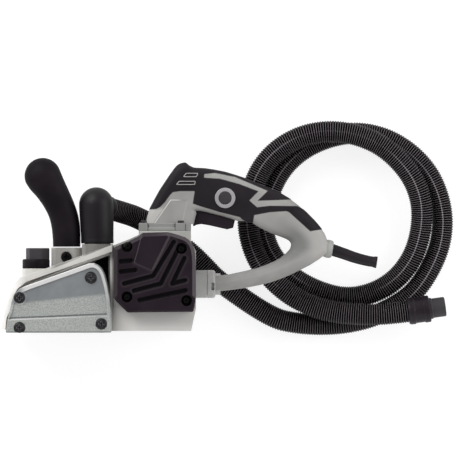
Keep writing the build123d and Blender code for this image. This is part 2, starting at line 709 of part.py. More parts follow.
# --------------------------------------------------------------------------------- dust elbow
def make_dust_elbow():
    direction = outlet.normalized()
    outside = post(elbow_x, elbow_z, elbow_bottom, elbow_centre_y, elbow_radius)
    outside += Pos(elbow_x, elbow_centre_y, elbow_z) * Sphere(elbow_radius)
    centre = Vector(elbow_x, elbow_centre_y, elbow_z)
    stub_plane = Plane(origin=centre, z_dir=direction, x_dir=Vector(0, 1, 0))
    low_end = (Align.CENTER, Align.CENTER, Align.MIN)
    outside += stub_plane * Cylinder(outlet_radius, outlet.length, align=low_end)
    lip = post(elbow_x, elbow_z, elbow_bottom, elbow_bottom + 5, elbow_radius + 0.5)
    outside += chamfer(lip.edges().filter_by(GeomType.CIRCLE), 0.4)
    inside = post(elbow_x, elbow_z, elbow_bottom - 1, elbow_centre_y, spigot_radius - 3 + run_fit)
    inside += Pos(elbow_x, elbow_centre_y, elbow_z) * Sphere(spigot_radius - 3 + run_fit)
    inside += stub_plane * Cylinder(hose_bore, outlet.length + 1, align=low_end)
    return outside - inside


# -------------------------------------------------------------------------------- front handle
front_spine = [(84.2, 110.5, 17.3), (84.0, 126, 17.5), (80.8, 146, 18.2), (72.8, 167, 19.5),
               (63.7, 184, 22.3), (53.3, 203.5, 24.7)]


def make_front_handle():
    """Elliptic sections on a leaning spine, closed by a round head."""
    sections = []
    for index, (x, y, r) in enumerate(front_spine):
        if index == 0:
            lean = Vector(0, 1, 0)
        elif index == len(front_spine) - 1:
            lean = Vector(x - front_spine[-2][0], y - front_spine[-2][1], 0)
        else:
            before, after = front_spine[index - 1], front_spine[index + 1]
            lean = Vector(after[0] - before[0], after[1] - before[1], 0)
        plane = Plane(origin=(x, y, handle_mid), x_dir=(0, 0, 1), z_dir=lean)
        sections.append(plane * Ellipse(17.0 + (r - 17.3) * 0.4, r))
    x, y, r = front_spine[-1]
    tip = Vector(x - front_spine[-2][0], y - front_spine[-2][1], 0).normalized()
    depth = 17.0 + (r - 17.3) * 0.4
    for angle in (25, 48, 66, 80):
        centre = Vector(x, y, handle_mid) + tip * (r * sin(radians(angle)))
        plane = Plane(origin=centre, x_dir=(0, 0, 1), z_dir=tip)
        sections.append(plane * Ellipse(depth * cos(radians(angle)), r * cos(radians(angle))))
    body = loft(sections)
    stub = post(front_handle_x, handle_mid, stub_bottom, front_handle_base + 1, stub_radius - run_fit)
    hole = rod(front_handle_x, handle_screw_y, handle_mid + 2, handle_mid + 40, big_shank_radius + run_fit)
    return body + stub - hole


def make_front_handle_screw():
    screw = pan_screw(big_head_radius, big_head_height, big_shank_radius, screw_length)
    return Pos(front_handle_x, handle_screw_y, handle_mid + front_spot_level) * screw


# ------------------------------------------------------------------------------------- D handle
# The outline as corners with the radius that rounds each of them
handle_corners = [
    (190.5, 136, 0), (190.5, 159, 30), (226.5, 219.5, 9), (240, 222.5, 7), (250.5, 213.8, 14),
    (277, 212.5, 60), (304, 205.5, 90), (352, 186, 110), (389, 163, 60), (413, 139, 40),
    (423.5, 119, 6), (430.5, 114, 7), (430.5, 98.5, 7), (409, 93.5, 25), (384, 79, 60),
    (340, 62.5, 90), (collar_start, 52, 0), (collar_start, 74.5, 0), (318, 79.5, 80), (356, 92, 45),
    (379.5, 113.5, 9), (343, 131.5, 25), (324, 144.6, 9), (309, 144, 3), (254.8, 158, 2),
    (250.6, 153, 3), (247, 136, 0),
]
handle_boss_places = [(207, 168), (238, 208), (322, 165), (405, 112), (325, 70)]
cavity_wall = 4.8


def handle_face():
    points = [(x, y) for x, y, r in handle_corners]
    radii = [r for x, y, r in handle_corners]
    return make_face(FilletPolyline(*points, radius=radii, close=True))


def handle_body(inset):
    """The whole handle, both halves together, drawn in by the inset on every side."""
    half = handle_half - inset
    face = offset(handle_face(), amount=-inset) if inset else handle_face()
    body = prism(face, handle_mid - half, handle_mid + half)
    edges = [edge for edge in body.edges() if abs(abs(edge.center().Z - handle_mid) - half) < 1e-3]
    return fillet(edges, edge_round - inset)


# What the soft overmould covers, and the light stripe that stays free in it
grip_zone = [(150, 158), (200.2, 160.6), (205.4, 163.2), (211.9, 169.7), (218.4, 178.8), (222.3, 182.7),
             (231.4, 184), (251, 184), (248.3, 167.7), (257.4, 164.5), (283.4, 156.7), (309.4, 150.2),
             (312, 147.6), (315.9, 145), (325, 138), (327.6, 152.8), (348.4, 156.7), (369.2, 158),
             (373.1, 156.7), (400.4, 132), (413.4, 133.9), (440, 134), (440, 240), (150, 240)]
stripe_zone = [(262.6, 206), (276.9, 207.4), (302.9, 202.2), (328.9, 191.1), (345.8, 184),
               (332.8, 171.6), (374.4, 172.9), (392, 170), (392, 160), (383.5, 164), (348.4, 164.5),
               (331.5, 162.5), (321.1, 171.6), (332.8, 183.3), (309.4, 192.4), (283.4, 199.6),
               (262.6, 200.9)]


def make_handle_parts():
    outer = handle_body(0)
    skin_core = handle_body(grip_skin)
    cavity = handle_body(cavity_wall)
    low, high = handle_mid - 40, handle_mid + 40
    zone = prism(grip_zone, low, high) - prism(stripe_zone, low, high)
    grips = (outer - skin_core) & zone
    flange = block(flange_left, flange_right, flange_bottom, flange_top, handle_mid - flange_half,
                   handle_mid + flange_half)
    flange = round_vertical(flange, 3)
    collar = bar(spigot_y, handle_mid, collar_start, 277, collar_radius)
    collar = fillet(collar.edges().filter_by(GeomType.CIRCLE), 1.5)
    shell = outer - grips + flange + collar
    shell -= cavity
    for x, y in handle_boss_places:
        shell += rod(x, y, handle_mid - handle_half + 3, handle_mid + handle_half - 3, 4.2) & outer
    shell -= bar(spigot_y, handle_mid, collar_start - 1, tail_spigot_end + 12, tail_spigot_radius - 4)
    shell -= block(*collar_slot, handle_mid + tail_spigot_radius - 4, handle_mid + 30)
    shell -= trigger_slot()
    shell -= switch_box(split_gap) + switch_fingers(soft_gap)
    shell -= rod(ring_x, ring_y, handle_mid, low + 100, button_radius + 0.35)
    shell -= rod(ring_x, ring_y, handle_mid + handle_half - 2, high, ring_radius)
    shell -= guard_seat()
    shell -= rod(*trigger_pivot, handle_mid - 14, handle_mid + 14, trigger_pin_radius + run_fit)
    for x, y in handle_boss_places:
        shell -= rod(x, y, low, handle_mid + 11, 1.6 + run_fit)
        shell -= rod(x, y, low, handle_mid - handle_half + 5, 3.6)
    for x, z in neck_screw_places:
        shell -= post(x, z, flange_bottom - 1, flange_top + 1, motor_bolt_radius + run_fit)
    shell -= cord_way()
    grips -= rod(ring_x, ring_y, handle_mid, high, ring_radius)
    grips -= trigger_slot()
    for x, y in handle_boss_places:
        grips -= rod(x, y, low, handle_mid, 3.6)
    above = block(0, 500, 0, 300, handle_mid + split_gap / 2, high)
    below = block(0, 500, 0, 300, low, handle_mid - split_gap / 2)
    return shell & above, shell & below, grips & above, grips & below


trigger_outline = [(250.5, 150), (254.5, 169), (262, 171), (268, 170), (274, 162), (300, 154), (303, 146.5),
                   (300.5, 136), (292.5, 134), (270.4, 139.1), (259, 141), (252.2, 139.8), (247.5, 136.5)]
trigger_swing = 8.0


def trigger_face():
    return face_of(trigger_outline)


def trigger_slot():
    """Room for the trigger over its whole swing, a little wider than the trigger."""
    half = trigger_width / 2 + 0.5
    room = None
    for step in range(5):
        turned = Pos(*trigger_pivot) * Rot(0, 0, step * trigger_swing / 4) * Pos(
            -trigger_pivot[0], -trigger_pivot[1]) * offset(trigger_face(), amount=0.6)
        room = turned if room is None else room + turned
    return prism(room, handle_mid - half, handle_mid + half)


def make_trigger():
    half = trigger_width / 2
    solid = prism(trigger_face(), handle_mid - half, handle_mid + half)
    low_edges = [edge for edge in solid.edges().filter_by(Axis.Z) if edge.center().Y < 152]
    solid = fillet(low_edges, 1.4)
    return solid - rod(*trigger_pivot, 0, 200, trigger_pin_radius + run_fit)


def make_trigger_pin():
    return rod(*trigger_pivot, handle_mid - 13.5, handle_mid + 13.5, trigger_pin_radius)


def switch_box(grow=0.0):
    return block(switch_start - grow, switch_end + grow, switch_bottom - grow, switch_top + grow,
                 switch_low - grow, switch_high + grow)


def switch_fingers(grow=0.0):
    """Terminals on top of the switch and the plunger that the trigger pushes."""
    low, high = handle_mid - 5 - grow, handle_mid + 1 + grow
    fingers = block(293 - grow, 299 + grow, plunger_bottom - grow, switch_bottom + 1, low, high)
    for x in (271, 279, 287):
        fingers += block(x - grow, x + 4 + grow, switch_top - 1, switch_top + 4 + grow, low, high)
    return fingers


def make_switch_body():
    return switch_box() + switch_fingers()


def make_lock_button():
    bottom = handle_mid + button_travel + 5
    stem = rod(ring_x, ring_y, bottom, handle_mid + handle_half + 1.6, button_radius)
    return fillet(stem.edges().filter_by(GeomType.CIRCLE).sort_by(Axis.Z)[-1], 1)


def make_button_ring():
    low = handle_mid + handle_half - 2 + split_gap
    body = ring(ring_x, ring_y, low, handle_mid + handle_half + 1.2, ring_radius - run_fit,
                button_radius + 0.4)
    return chamfer(body.edges().filter_by(GeomType.CIRCLE).sort_by(Axis.Z)[-2:], 0.6)


def make_handle_screws():
    screw = Rot(180, 0, 0) * pan_screw(3.2, 2.2, 1.6, 20)
    return [Pos(x, y, handle_mid - handle_half + 5) * screw for x, y in handle_boss_places]


def make_neck_screws():
    screws = []
    for x, z in neck_screw_places:
        screw = pan_screw(bolt_head_radius, 3.2, motor_bolt_radius, flange_top - flange_bottom + 9)
        screws.append(Pos(x, flange_top, z) * Rot(-90, 0, 0) * screw)
    return screws


def make_rear_spigot():
    body = bar(spigot_y, handle_mid, 252, tail_spigot_end - 9.6, tail_spigot_radius)
    body += bar(spigot_y, handle_mid, 252, tail_spigot_end + 8, tail_spigot_radius - 4 - run_fit)
    body -= bar(spigot_y, handle_mid, 255, 300, tail_spigot_radius - 7)
    for y, z in spigot_screw_places:
        body -= bar(y, z, 250, 258, motor_bolt_radius + run_fit)
    return body


def make_spigot_screws():
    screws = []
    for y, z in spigot_screw_places:
        screw = pan_screw(bolt_head_radius, 3.0, motor_bolt_radius, 7)
        screws.append(Pos(255, y, z) * Rot(0, 90, 0) * screw)
    return screws


# ---------------------------------------------------------------------------------- cord guard
guard_place = Pos(guard_x, guard_y, handle_mid) * Rot(0, 0, guard_tilt) * Rot(0, 90, 0)


def guard_seat():
    """Pocket in the tail of the handle that grips the collar of the cord guard."""
    neck = Cylinder(cord_guard_root - 0.8 + run_fit, 16.5, align=(Align.CENTER, Align.CENTER, Align.MAX))
    collar = Pos(0, 0, -6) * Cylinder(cord_guard_root + 1.5, 4 + 2 * split_gap,
                                      align=(Align.CENTER, Align.CENTER, Align.MAX))
    return guard_place * (Pos(0, 0, 4) * neck + collar)


def cord_way():
    return guard_place * Cylinder(cord_bore, 60, align=(Align.CENTER, Align.CENTER, Align.MAX))


def make_cord_guard():
    root, tip = cord_guard_root, cord_guard_tip
    end = cord_guard_length
    profile = [(cord_bore, -11.9), (root - 0.8, -11.9), (root - 0.8, -10 - split_gap),
               (root + 1.4, -10 - split_gap), (root + 1.4, -6 - split_gap), (root - 0.8, -6 - split_gap),
               (root - 0.8, 2.5), (root, 2.5), (tip, end - 7), (tip + 0.7, end), (cord_bore, end)]
    return revolved(profile, guard_place)


def make_cord_clamp():
    x, y = 392.0, 116.0
    floor = handle_half - cavity_wall - split_gap
    half = cord_bore + 0.1
    bridge = block(x - 5, x + 5, y - 11, y + 11, handle_mid + half, handle_mid + floor)
    base = block(x - 5, x + 5, y - 11, y + 11, handle_mid - floor, handle_mid - half)
    return [bridge, base]


# ---------------------------------------------------------------------------------------- hose
# Points of the hose's centre line, from the elbow, under the handle, twice round and to its cuff
hose_run_route = [
    (145.1, 159.5, 66.5), (176.3, 149.75, 28.25), (216, 126, 14.5), (245, 103.5, 14.5), (265, 83.5, 14.5),
    (281, 66.2, 14.5), (315.4, 42.4, 14.5)]
hose_coil_route = [
    (315.4, 42.4, 14.5), (349.8, 18.6, 14.5), (383, 11.2, 14.5), (418, 9.2, 14.5),
    (451, 11.8, 14.5), (482.5, 19.6, 14.5), (513, 32.6, 14.5), (537, 51, 14.5),
    (557, 78.5, 14.5), (570.6, 112, 14.5), (575.6, 147.6, 14.5), (570.8, 182.4, 14.5),
    (556, 213, 14.5), (531.5, 237, 14.5), (500.5, 253.2, 14.5), (465.4, 261.2, 14.5),
    (430.3, 260, 14.5), (397.8, 249.5, 14.5), (371.8, 232.1, 14.5), (354.9, 209.3, 14.5),
    (344.2, 181.4, 14.5), (338.7, 151.5, 14.5), (340.8, 122.9, 14.5), (354, 94.5, 14.5),
    (379.8, 69.4, 14.5), (411.4, 52.8, 14.5), (448.5, 43.2, 14.5), (484.7, 51, 14.5),
    (513.8, 69.3, 14.5), (535, 98, 17.5), (546.2, 132, 23), (548.6, 166.3, 30), (537.5, 200, 37),
    (516.8, 227.8, 43), (489.8, 247.4, 43.2), (457.2, 259.8, 43.2), (424.5, 263.4, 43.2),
    (391.3, 257.8, 43), (361.4, 242, 40), (338.8, 219.1, 37), (324.6, 189.2, 36.5),
    (318.4, 156.7, 36.5), (321.2, 123.5, 36.5), (333.5, 90.5, 36.5), (355.5, 63.5, 36.5),
    (384.5, 41.6, 37), (424.5, 26.6, 39.5), (468, 22.8, 43.2), (503, 23.4, 44), (528.6, 26.9, 43.2)]
cuff_length = 28.5
cuff_radius = 17.5
nozzle_length = 20.5
nozzle_radius = 12.8
nozzle_bore = 9.7


def route_line(points):
    """Straight runs joined by the largest tangent arcs that the runs allow."""
    radii = []
    for before, here, after in zip(points, points[1:], points[2:]):
        run_in, run_out = Vector(here) - Vector(before), Vector(after) - Vector(here)
        turn = radians(run_in.get_angle(run_out))
        radii.append(0.45 * min(run_in.length, run_out.length) / tan(turn / 2))
    print("least bend radius", round(min(radii), 1), "mm")
    return Wire(FilletPolyline(*points, radius=radii).edges())


def circle_at(line, distance, radius):
    at = distance / line.length
    tangent = line.tangent_at(at)
    plane = Plane(origin=line.position_at(at), z_dir=tangent, x_dir=steady_axis(tangent))
    return plane * Wire.make_circle(radius)


def steady_axis(tangent):
    """An X axis square to the line that stays as level as it can."""
    return Vector(0, 0, 1).cross(tangent).normalized()


def ribbed_hose(points):
    line = route_line(points)
    straight = 2 * hose_radius
    count = round((line.length - 2 * straight) / rib_pitch)
    pitch = (line.length - 2 * straight) / count
    valley = hose_radius - rib_depth
    outer = [circle_at(line, 0, hose_radius - 0.4), circle_at(line, straight, hose_radius - 0.4)]
    for index in range(count):
        start = straight + index * pitch
        for share, radius in ((0.1, valley), (0.4, valley), (0.5, hose_radius), (1.0, hose_radius)):
            outer.append(circle_at(line, start + share * pitch, radius))
    outer.append(circle_at(line, line.length, hose_radius - 0.4))
    inner = [circle_at(line, 0, hose_bore)]
    inner += [circle_at(line, straight + index * pitch, hose_bore) for index in range(count + 1)]
    inner.append(circle_at(line, line.length, hose_bore))
    tube = Solid.make_loft(outer, True) - Solid.make_loft(inner, True)
    print("hose stretch", round(line.length), "mm,", count, "ribs")
    return tube


def least_self_gap(points):
    """Narrowest space between two stretches of the hose that are not neighbours."""
    line = route_line(points)
    count = 700
    spots = [line.position_at(index / count) for index in range(count + 1)]
    skip = int(8 * hose_radius / line.length * count)
    nearest = min((a - b).length for i, a in enumerate(spots) for b in spots[i + skip:])
    return nearest - 2 * hose_radius


def make_hose_cuff():
    end, before = Vector(hose_coil_route[-1]), Vector(hose_coil_route[-2])
    heading = (end - before).normalized()
    place = Plane(origin=end, z_dir=heading, x_dir=steady_axis(heading)).location
    sleeve = [(hose_bore - 1, 0), (hose_radius + 2.2, 0), (cuff_radius, 2.5), (cuff_radius, 8),
              (cuff_radius - 1, 9), (cuff_radius - 1, cuff_length - 8), (cuff_radius, cuff_length - 7),
              (cuff_radius, cuff_length - 1), (cuff_radius - 1, cuff_length), (hose_bore - 1, cuff_length)]
    tip = cuff_length + nozzle_length
    nozzle = [(nozzle_bore, cuff_length), (nozzle_radius + 1, cuff_length),
              (nozzle_radius + 1, cuff_length + 3), (nozzle_radius, cuff_length + 3.5),
              (nozzle_radius, tip - 1), (nozzle_radius - 1, tip), (nozzle_bore, tip)]
    return revolved(sleeve, place), revolved(nozzle, place)


# -------------------------------------------------------------------------------------- writing
def collect():
    """Every piece of the machine under its node's name."""
    holders, brushes = make_brush_gear()
    grip = make_handle_parts()
    sleeve, nozzle = make_hose_cuff()
    pieces = {
        "main_housing": make_main_housing(),
        "chamber_cover": make_chamber_cover(),
        "chamber_cover_screws": make_cover_screws(),
        "motor_cover": make_motor_cover(),
        "motor_cover_screws": make_motor_cover_screws(),
        "belt_cover": make_belt_cover(),
        "belt_cover_screws": make_belt_cover_screws(),
        "armature_shaft": make_armature_shaft(),
        "armature_core": make_armature_core(),
        "commutator": make_commutator(),
        "cooling_fan": make_cooling_fan(),
        "stator_core": make_stator_core(),
        "field_coils": make_field_coils(),
        "motor_bearing_drive": bearing(motor_x, motor_y, belt_cover_depth + 2, drive_bearing_width,
                                       drive_bearing_radius, shaft_radius),
        "motor_bearing_end": bearing(motor_x, motor_y, commutator_end + 3, end_bearing_width,
                                     end_bearing_radius, shaft_end_radius),
        "brush_holders": holders,
        "carbon_brushes": brushes,
        "motor_pulley": make_pulley(motor_x, motor_y, motor_pulley_radius, shaft_radius),
        "spindle_pulley": make_pulley(spindle_x, spindle_y, spindle_pulley_radius, spindle_radius),
        "drive_belt": make_drive_belt(),
        "spindle": make_spindle(),
        "spindle_bearings": [
            bearing(spindle_x, spindle_y, belt_cover_depth + 2 + step, spindle_bearing_width,
                    spindle_bearing_radius, spindle_radius) for step in (0, 12)],
        "spindle_seal": make_spindle_seal(),
        "cutter_drum": make_cutter_drum(),
        "carbide_teeth": make_carbide_teeth(),
        "cutter_bolt": make_cutter_bolt(),
        "sole_plate": make_sole_plate(),
        "sole_hinge_pin": make_hinge_pin(),
        "depth_sleeve": make_depth_sleeve(),
        "depth_knob": make_depth_knob(),
        "dust_elbow": make_dust_elbow(),
        "front_handle": make_front_handle(),
        "front_handle_screw": make_front_handle_screw(),
        "handle_shell_left": grip[0],
        "handle_shell_right": grip[1],
        "handle_grip_left": grip[2],
        "handle_grip_right": grip[3],
        "handle_screws": make_handle_screws(),
        "neck_screws": make_neck_screws(),
        "rear_spigot": make_rear_spigot(),
        "spigot_screws": make_spigot_screws(),
        "trigger": make_trigger(),
        "trigger_pin": make_trigger_pin(),
        "switch_body": make_switch_body(),
        "lock_button": make_lock_button(),
        "button_ring": make_button_ring(),
        "cord_guard": make_cord_guard(),
        "cord_clamp": make_cord_clamp(),
        "hose_run": ribbed_hose(hose_run_route),
        "hose_coil": ribbed_hose(hose_coil_route),
        "hose_cuff": sleeve,
        "hose_nozzle": nozzle,
    }
    return pieces


def as_one(piece):
    """A node's solids as a single shape for export."""
    solids = piece if isinstance(piece, list) else [piece]
    found = [solid for item in solids for solid in item.solids()]
    return found[0] if len(found) == 1 else Compound(children=found)


cord_end = guard_place * Pos(0, 0, cord_guard_length)
machine_middle = round((cord_end.position.X + 2) / 2, 1)
machine_height = 228.0
origin_shift = Pos(-machine_middle, -machine_height / 2, 0)

if __name__ == "__main__":
    print("lead of the depth screw", round(sleeve_travel / knob_turns, 2), "mm")
    print("least gap of the hose to itself", round(least_self_gap(hose_coil_route), 2), "mm")
    for name, piece in collect().items():
        export_step(origin_shift * as_one(piece), f"parts/{name}.step")
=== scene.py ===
# Wall chaser with its dust hose, lying on its side
import bpy
import json
import math
import numpy as np
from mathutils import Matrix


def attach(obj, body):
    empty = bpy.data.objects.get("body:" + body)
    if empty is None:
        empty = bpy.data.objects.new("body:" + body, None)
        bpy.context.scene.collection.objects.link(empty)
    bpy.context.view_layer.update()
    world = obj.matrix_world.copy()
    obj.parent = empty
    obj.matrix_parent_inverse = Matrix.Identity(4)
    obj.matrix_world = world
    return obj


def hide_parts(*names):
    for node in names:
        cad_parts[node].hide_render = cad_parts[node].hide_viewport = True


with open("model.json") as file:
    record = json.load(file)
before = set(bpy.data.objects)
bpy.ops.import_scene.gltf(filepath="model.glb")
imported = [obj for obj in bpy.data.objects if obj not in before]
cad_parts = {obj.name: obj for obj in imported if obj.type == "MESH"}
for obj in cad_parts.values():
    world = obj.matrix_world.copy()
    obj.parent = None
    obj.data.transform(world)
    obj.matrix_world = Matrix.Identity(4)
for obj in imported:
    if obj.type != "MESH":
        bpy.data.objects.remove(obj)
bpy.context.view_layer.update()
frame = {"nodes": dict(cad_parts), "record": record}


# ---- small tools -------------------------------------------------------------------------------
def toFrame(points):
    # millimetres from the front tip, the sole and the bench -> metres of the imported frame
    points = np.asarray(points, float)
    return (points - np.array([244.4, 114.0, 0.0])) / 1000.0


def overlay(points):
    # drawing grid of 1.3 mm, y downwards -> millimetres from the front tip and the sole
    points = np.asarray(points, float)
    return np.column_stack([1.3 * (points[:, 0] - 2.0), 1.3 * (332.5 - points[:, 1])])


def linear(red, green, blue):
    # sRGB 0..255 -> linear colour
    c = np.array([red, green, blue]) / 255.0
    c = np.where(c <= 0.04045, c / 12.92, ((c + 0.055) / 1.055) ** 2.4)
    return (float(c[0]), float(c[1]), float(c[2]), 1.0)


def smooth(value, low, high):
    # 0 below low, 1 above high, an S-curve between
    t = np.clip((value - low) / (high - low), 0.0, 1.0)
    return t * t * (3.0 - 2.0 * t)


def sideDistance(x, y, outline):
    # distance to a closed outline of straight sides, positive inside
    shape = x.shape
    p = np.column_stack([x.ravel(), y.ravel()])
    a = np.asarray(outline, float)
    b = np.roll(a, -1, axis=0)
    side = b - a
    rel = p[:, None, :] - a[None]
    t = np.clip((rel * side).sum(2) / (side ** 2).sum(1), 0.0, 1.0)
    d = np.sqrt(((rel - t[..., None] * side) ** 2).sum(2)).min(1)
    straddles = (a[None, :, 1] > p[:, 1:2]) != (b[None, :, 1] > p[:, 1:2])
    rise = np.where(side[:, 1] == 0.0, 1.0, side[:, 1])
    crossing = p[:, :1] < side[:, 0] * (p[:, 1:2] - a[:, 1]) / rise + a[:, 0]
    inside = (straddles & crossing).sum(1) % 2 == 1
    return np.where(inside, d, -d).reshape(shape)


def lineDistance(x, y, path):
    # distance to an open line of straight runs
    shape = x.shape
    p = np.column_stack([x.ravel(), y.ravel()])
    a = np.asarray(path, float)
    side = a[1:] - a[:-1]
    rel = p[:, None, :] - a[None, :-1]
    t = np.clip((rel * side).sum(2) / (side ** 2).sum(1), 0.0, 1.0)
    return np.sqrt(((rel - t[..., None] * side) ** 2).sum(2)).min(1).reshape(shape)


def resample(points, count, closed=False):
    # even steps along a line of straight runs
    p = np.asarray(points, float)
    if closed:
        p = np.vstack([p, p[:1]])
    run = np.concatenate([[0.0], np.cumsum(np.linalg.norm(np.diff(p, axis=0), axis=1))])
    at = np.linspace(0.0, run[-1], count, endpoint=not closed)
    return np.column_stack([np.interp(at, run, p[:, k]) for k in range(p.shape[1])])


def softened(points, blur):
    # running average along an open line, its ends held
    wide = np.vstack([np.repeat(points[:1], blur, 0), points, np.repeat(points[-1:], blur, 0)])
    kernel = np.hanning(2 * blur + 3)[1:-1]
    kernel /= kernel.sum()
    return np.column_stack([np.convolve(wide[:, k], kernel, "valid")
                            for k in range(points.shape[1])])[:len(points)]


def roundLoop(points, count, blur):
    # closed line with its corners drawn round by a running average
    p = resample(points, count, closed=True)
    wide = np.vstack([p[-blur:], p, p[:blur]])
    kernel = np.hanning(2 * blur + 3)[1:-1]
    kernel /= kernel.sum()
    return np.column_stack([np.convolve(wide[:, k], kernel, "valid") for k in range(p.shape[1])])


def surface(name, points, finish, wrapU=False, wrapV=False, capStart=False, capEnd=False,
            marks=None):
    # a grid of points (u, v, 3) in frame metres becomes one mesh; caps close the first and last u
    rows, columns = points.shape[:2]
    index = np.arange(rows * columns).reshape(rows, columns)
    if wrapU:
        index = np.vstack([index, index[:1]])
    if wrapV:
        index = np.hstack([index, index[:, :1]])
    quads = np.stack([index[:-1, :-1], index[1:, :-1], index[1:, 1:], index[:-1, 1:]], -1).reshape(-1, 4)
    flat = points.reshape(-1, 3) - points.reshape(-1, 3).mean(0)
    a, b, c, d = (flat[quads[:, k]] for k in range(4))
    flip = float((a * np.cross(b, c)).sum() + (a * np.cross(c, d)).sum()) < 0.0    # volume decides outwards
    if flip:
        quads = quads[:, ::-1]
    faces = quads.tolist()
    ring = np.arange(columns).tolist()
    if capStart:
        faces.append(ring if not flip else ring[::-1])
    if capEnd:
        last = (np.arange(columns) + (rows - 1) * columns).tolist()
        faces.append(last[::-1] if not flip else last)
    mesh = bpy.data.meshes.new(name)
    mesh.from_pydata(points.reshape(-1, 3).tolist(), [], faces)
    for mark, values in (marks or {}).items():
        values = np.asarray(values, np.float32)
        if values.ndim == 3:
            layer = mesh.attributes.new(mark, "FLOAT_VECTOR", "POINT")
            layer.data.foreach_set("vector", values.reshape(-1))
        else:
            layer = mesh.attributes.new(mark, "FLOAT", "POINT")
            layer.data.foreach_set("value", values.reshape(-1))
    mesh.polygons.foreach_set("use_smooth", np.ones(len(mesh.polygons), bool))
    mesh.materials.append(finish)
    mesh.update()
    piece = bpy.data.objects.new(name, mesh)
    bpy.context.scene.collection.objects.link(piece)
    return piece


def sectionRing(flat, side, corner):
    # unit section of a rounded bar: straight share (sx, sz) and corner share (cx, cz) of each point
    across, upright = np.linspace(-1, 1, flat + 2)[1:-1], np.linspace(-1, 1, side + 2)[1:-1]
    parts = []
    for turn, (sx, sz) in enumerate(((1, 1), (-1, 1), (-1, -1), (1, -1))):
        angle = np.linspace(0, np.pi / 2, corner) + turn * np.pi / 2
        parts.append(np.column_stack([np.full(corner, sx), np.full(corner, sz), np.cos(angle), np.sin(angle)]))
        count = flat if turn % 2 == 0 else side
        run = across[::-1] if turn == 0 else across if turn == 2 else upright[::-1] if turn == 1 else upright
        column = np.zeros((count, 4))
        column[:, 0 if turn % 2 == 0 else 1] = run
        column[:, 1 if turn % 2 == 0 else 0] = (1, -1, -1, 1)[turn]
        column[:, 3 if turn % 2 == 0 else 2] = (1, -1, -1, 1)[turn]
        parts.append(column)
    return np.vstack(parts).T


def turned(name, profile, centre, axis, finish, around=64):
    # a closed profile of (radius, along) carried round an axis; equal first and last radii of 0 close it
    axis = np.asarray(axis, float) / np.linalg.norm(axis)
    helper = np.array([0.0, 0.0, 1.0]) if abs(axis[2]) < 0.9 else np.array([1.0, 0.0, 0.0])
    side = np.cross(helper, axis); side /= np.linalg.norm(side)
    other = np.cross(axis, side)
    profile = np.asarray(profile, float)
    angle = np.linspace(0.0, 2 * np.pi, around, endpoint=False)
    spoke = np.cos(angle)[:, None] * side + np.sin(angle)[:, None] * other
    points = np.asarray(centre, float) + profile[:, None, :1] * spoke[None] + profile[:, None, 1:] * axis
    return surface(name, toFrame(points), finish, wrapV=True, capStart=True, capEnd=True)


# ---- camera, lights and floor ------------------------------------------------------------------
view = {
    "centre": (0.04875, 0.0225), "width": 0.5915, "distance": 12.0, "sensor": 36.0,
    "skyEdge": 0.95, "skyTop": 0.2,
    "keyPower": 22.0, "keyPlace": (-0.95, 1.05, 1.15), "keySize": 0.9,
    "fillPower": 11.0, "fillPlace": (1.3, 0.3, 0.9), "fillSize": 1.0,
    "lowPower": 6.0, "lowPlace": (0.0, -1.4, 0.8), "lowSize": 1.3,
    "floorGlow": 0.82, "floorShade": (0.26, 0.26, 0.26, 1.0), "floorBounce": (0.75, 0.75, 0.75, 1.0),
}


def addNode(tree, kind, **values):
    node = tree.nodes.new("ShaderNode" + kind)
    for key, value in values.items():
        socket = key.replace("_", " ")
        if socket in node.inputs:
            node.inputs[socket].default_value = value
        else:
            setattr(node, key, value)
    return node


def mathNode(tree, kind, first, second=None, third=None, clamp=False):
    node = addNode(tree, "Math", operation=kind, use_clamp=clamp)
    for slot, value in enumerate((first, second, third)):
        if value is None:
            continue
        if isinstance(value, (int, float)):
            node.inputs[slot].default_value = value
        else:
            tree.links.new(value, node.inputs[slot])
    return node.outputs[0]


def ranged(tree, value, low, high, toLow=0.0, toHigh=1.0):
    node = addNode(tree, "MapRange", From_Min=low, From_Max=high, To_Min=toLow, To_Max=toHigh)
    tree.links.new(value, node.inputs[0])
    return node.outputs[0]


def cameraRays(tree):
    # 1 for what the camera, gloss and glass see directly
    path = addNode(tree, "LightPath")
    first = addNode(tree, "Math", operation="MAXIMUM")
    both = addNode(tree, "Math", operation="MAXIMUM")
    tree.links.new(path.outputs["Is Camera Ray"], first.inputs[0])
    tree.links.new(path.outputs["Is Glossy Ray"], first.inputs[1])
    tree.links.new(first.outputs[0], both.inputs[0])
    tree.links.new(path.outputs["Is Transmission Ray"], both.inputs[1])
    return both.outputs[0]


def addLamp(name, place, size, power):
    lamp = bpy.data.lights.new(name, "AREA")
    lamp.shape = "SQUARE"
    lamp.size = size
    lamp.energy = power
    thing = bpy.data.objects.new(name, lamp)
    thing.location = place
    aim = -np.array(place)
    thing.rotation_euler = (math.acos(-aim[2] / np.linalg.norm(aim)), 0.0,
                            math.atan2(aim[1], aim[0]) - math.pi / 2)
    bpy.context.scene.collection.objects.link(thing)


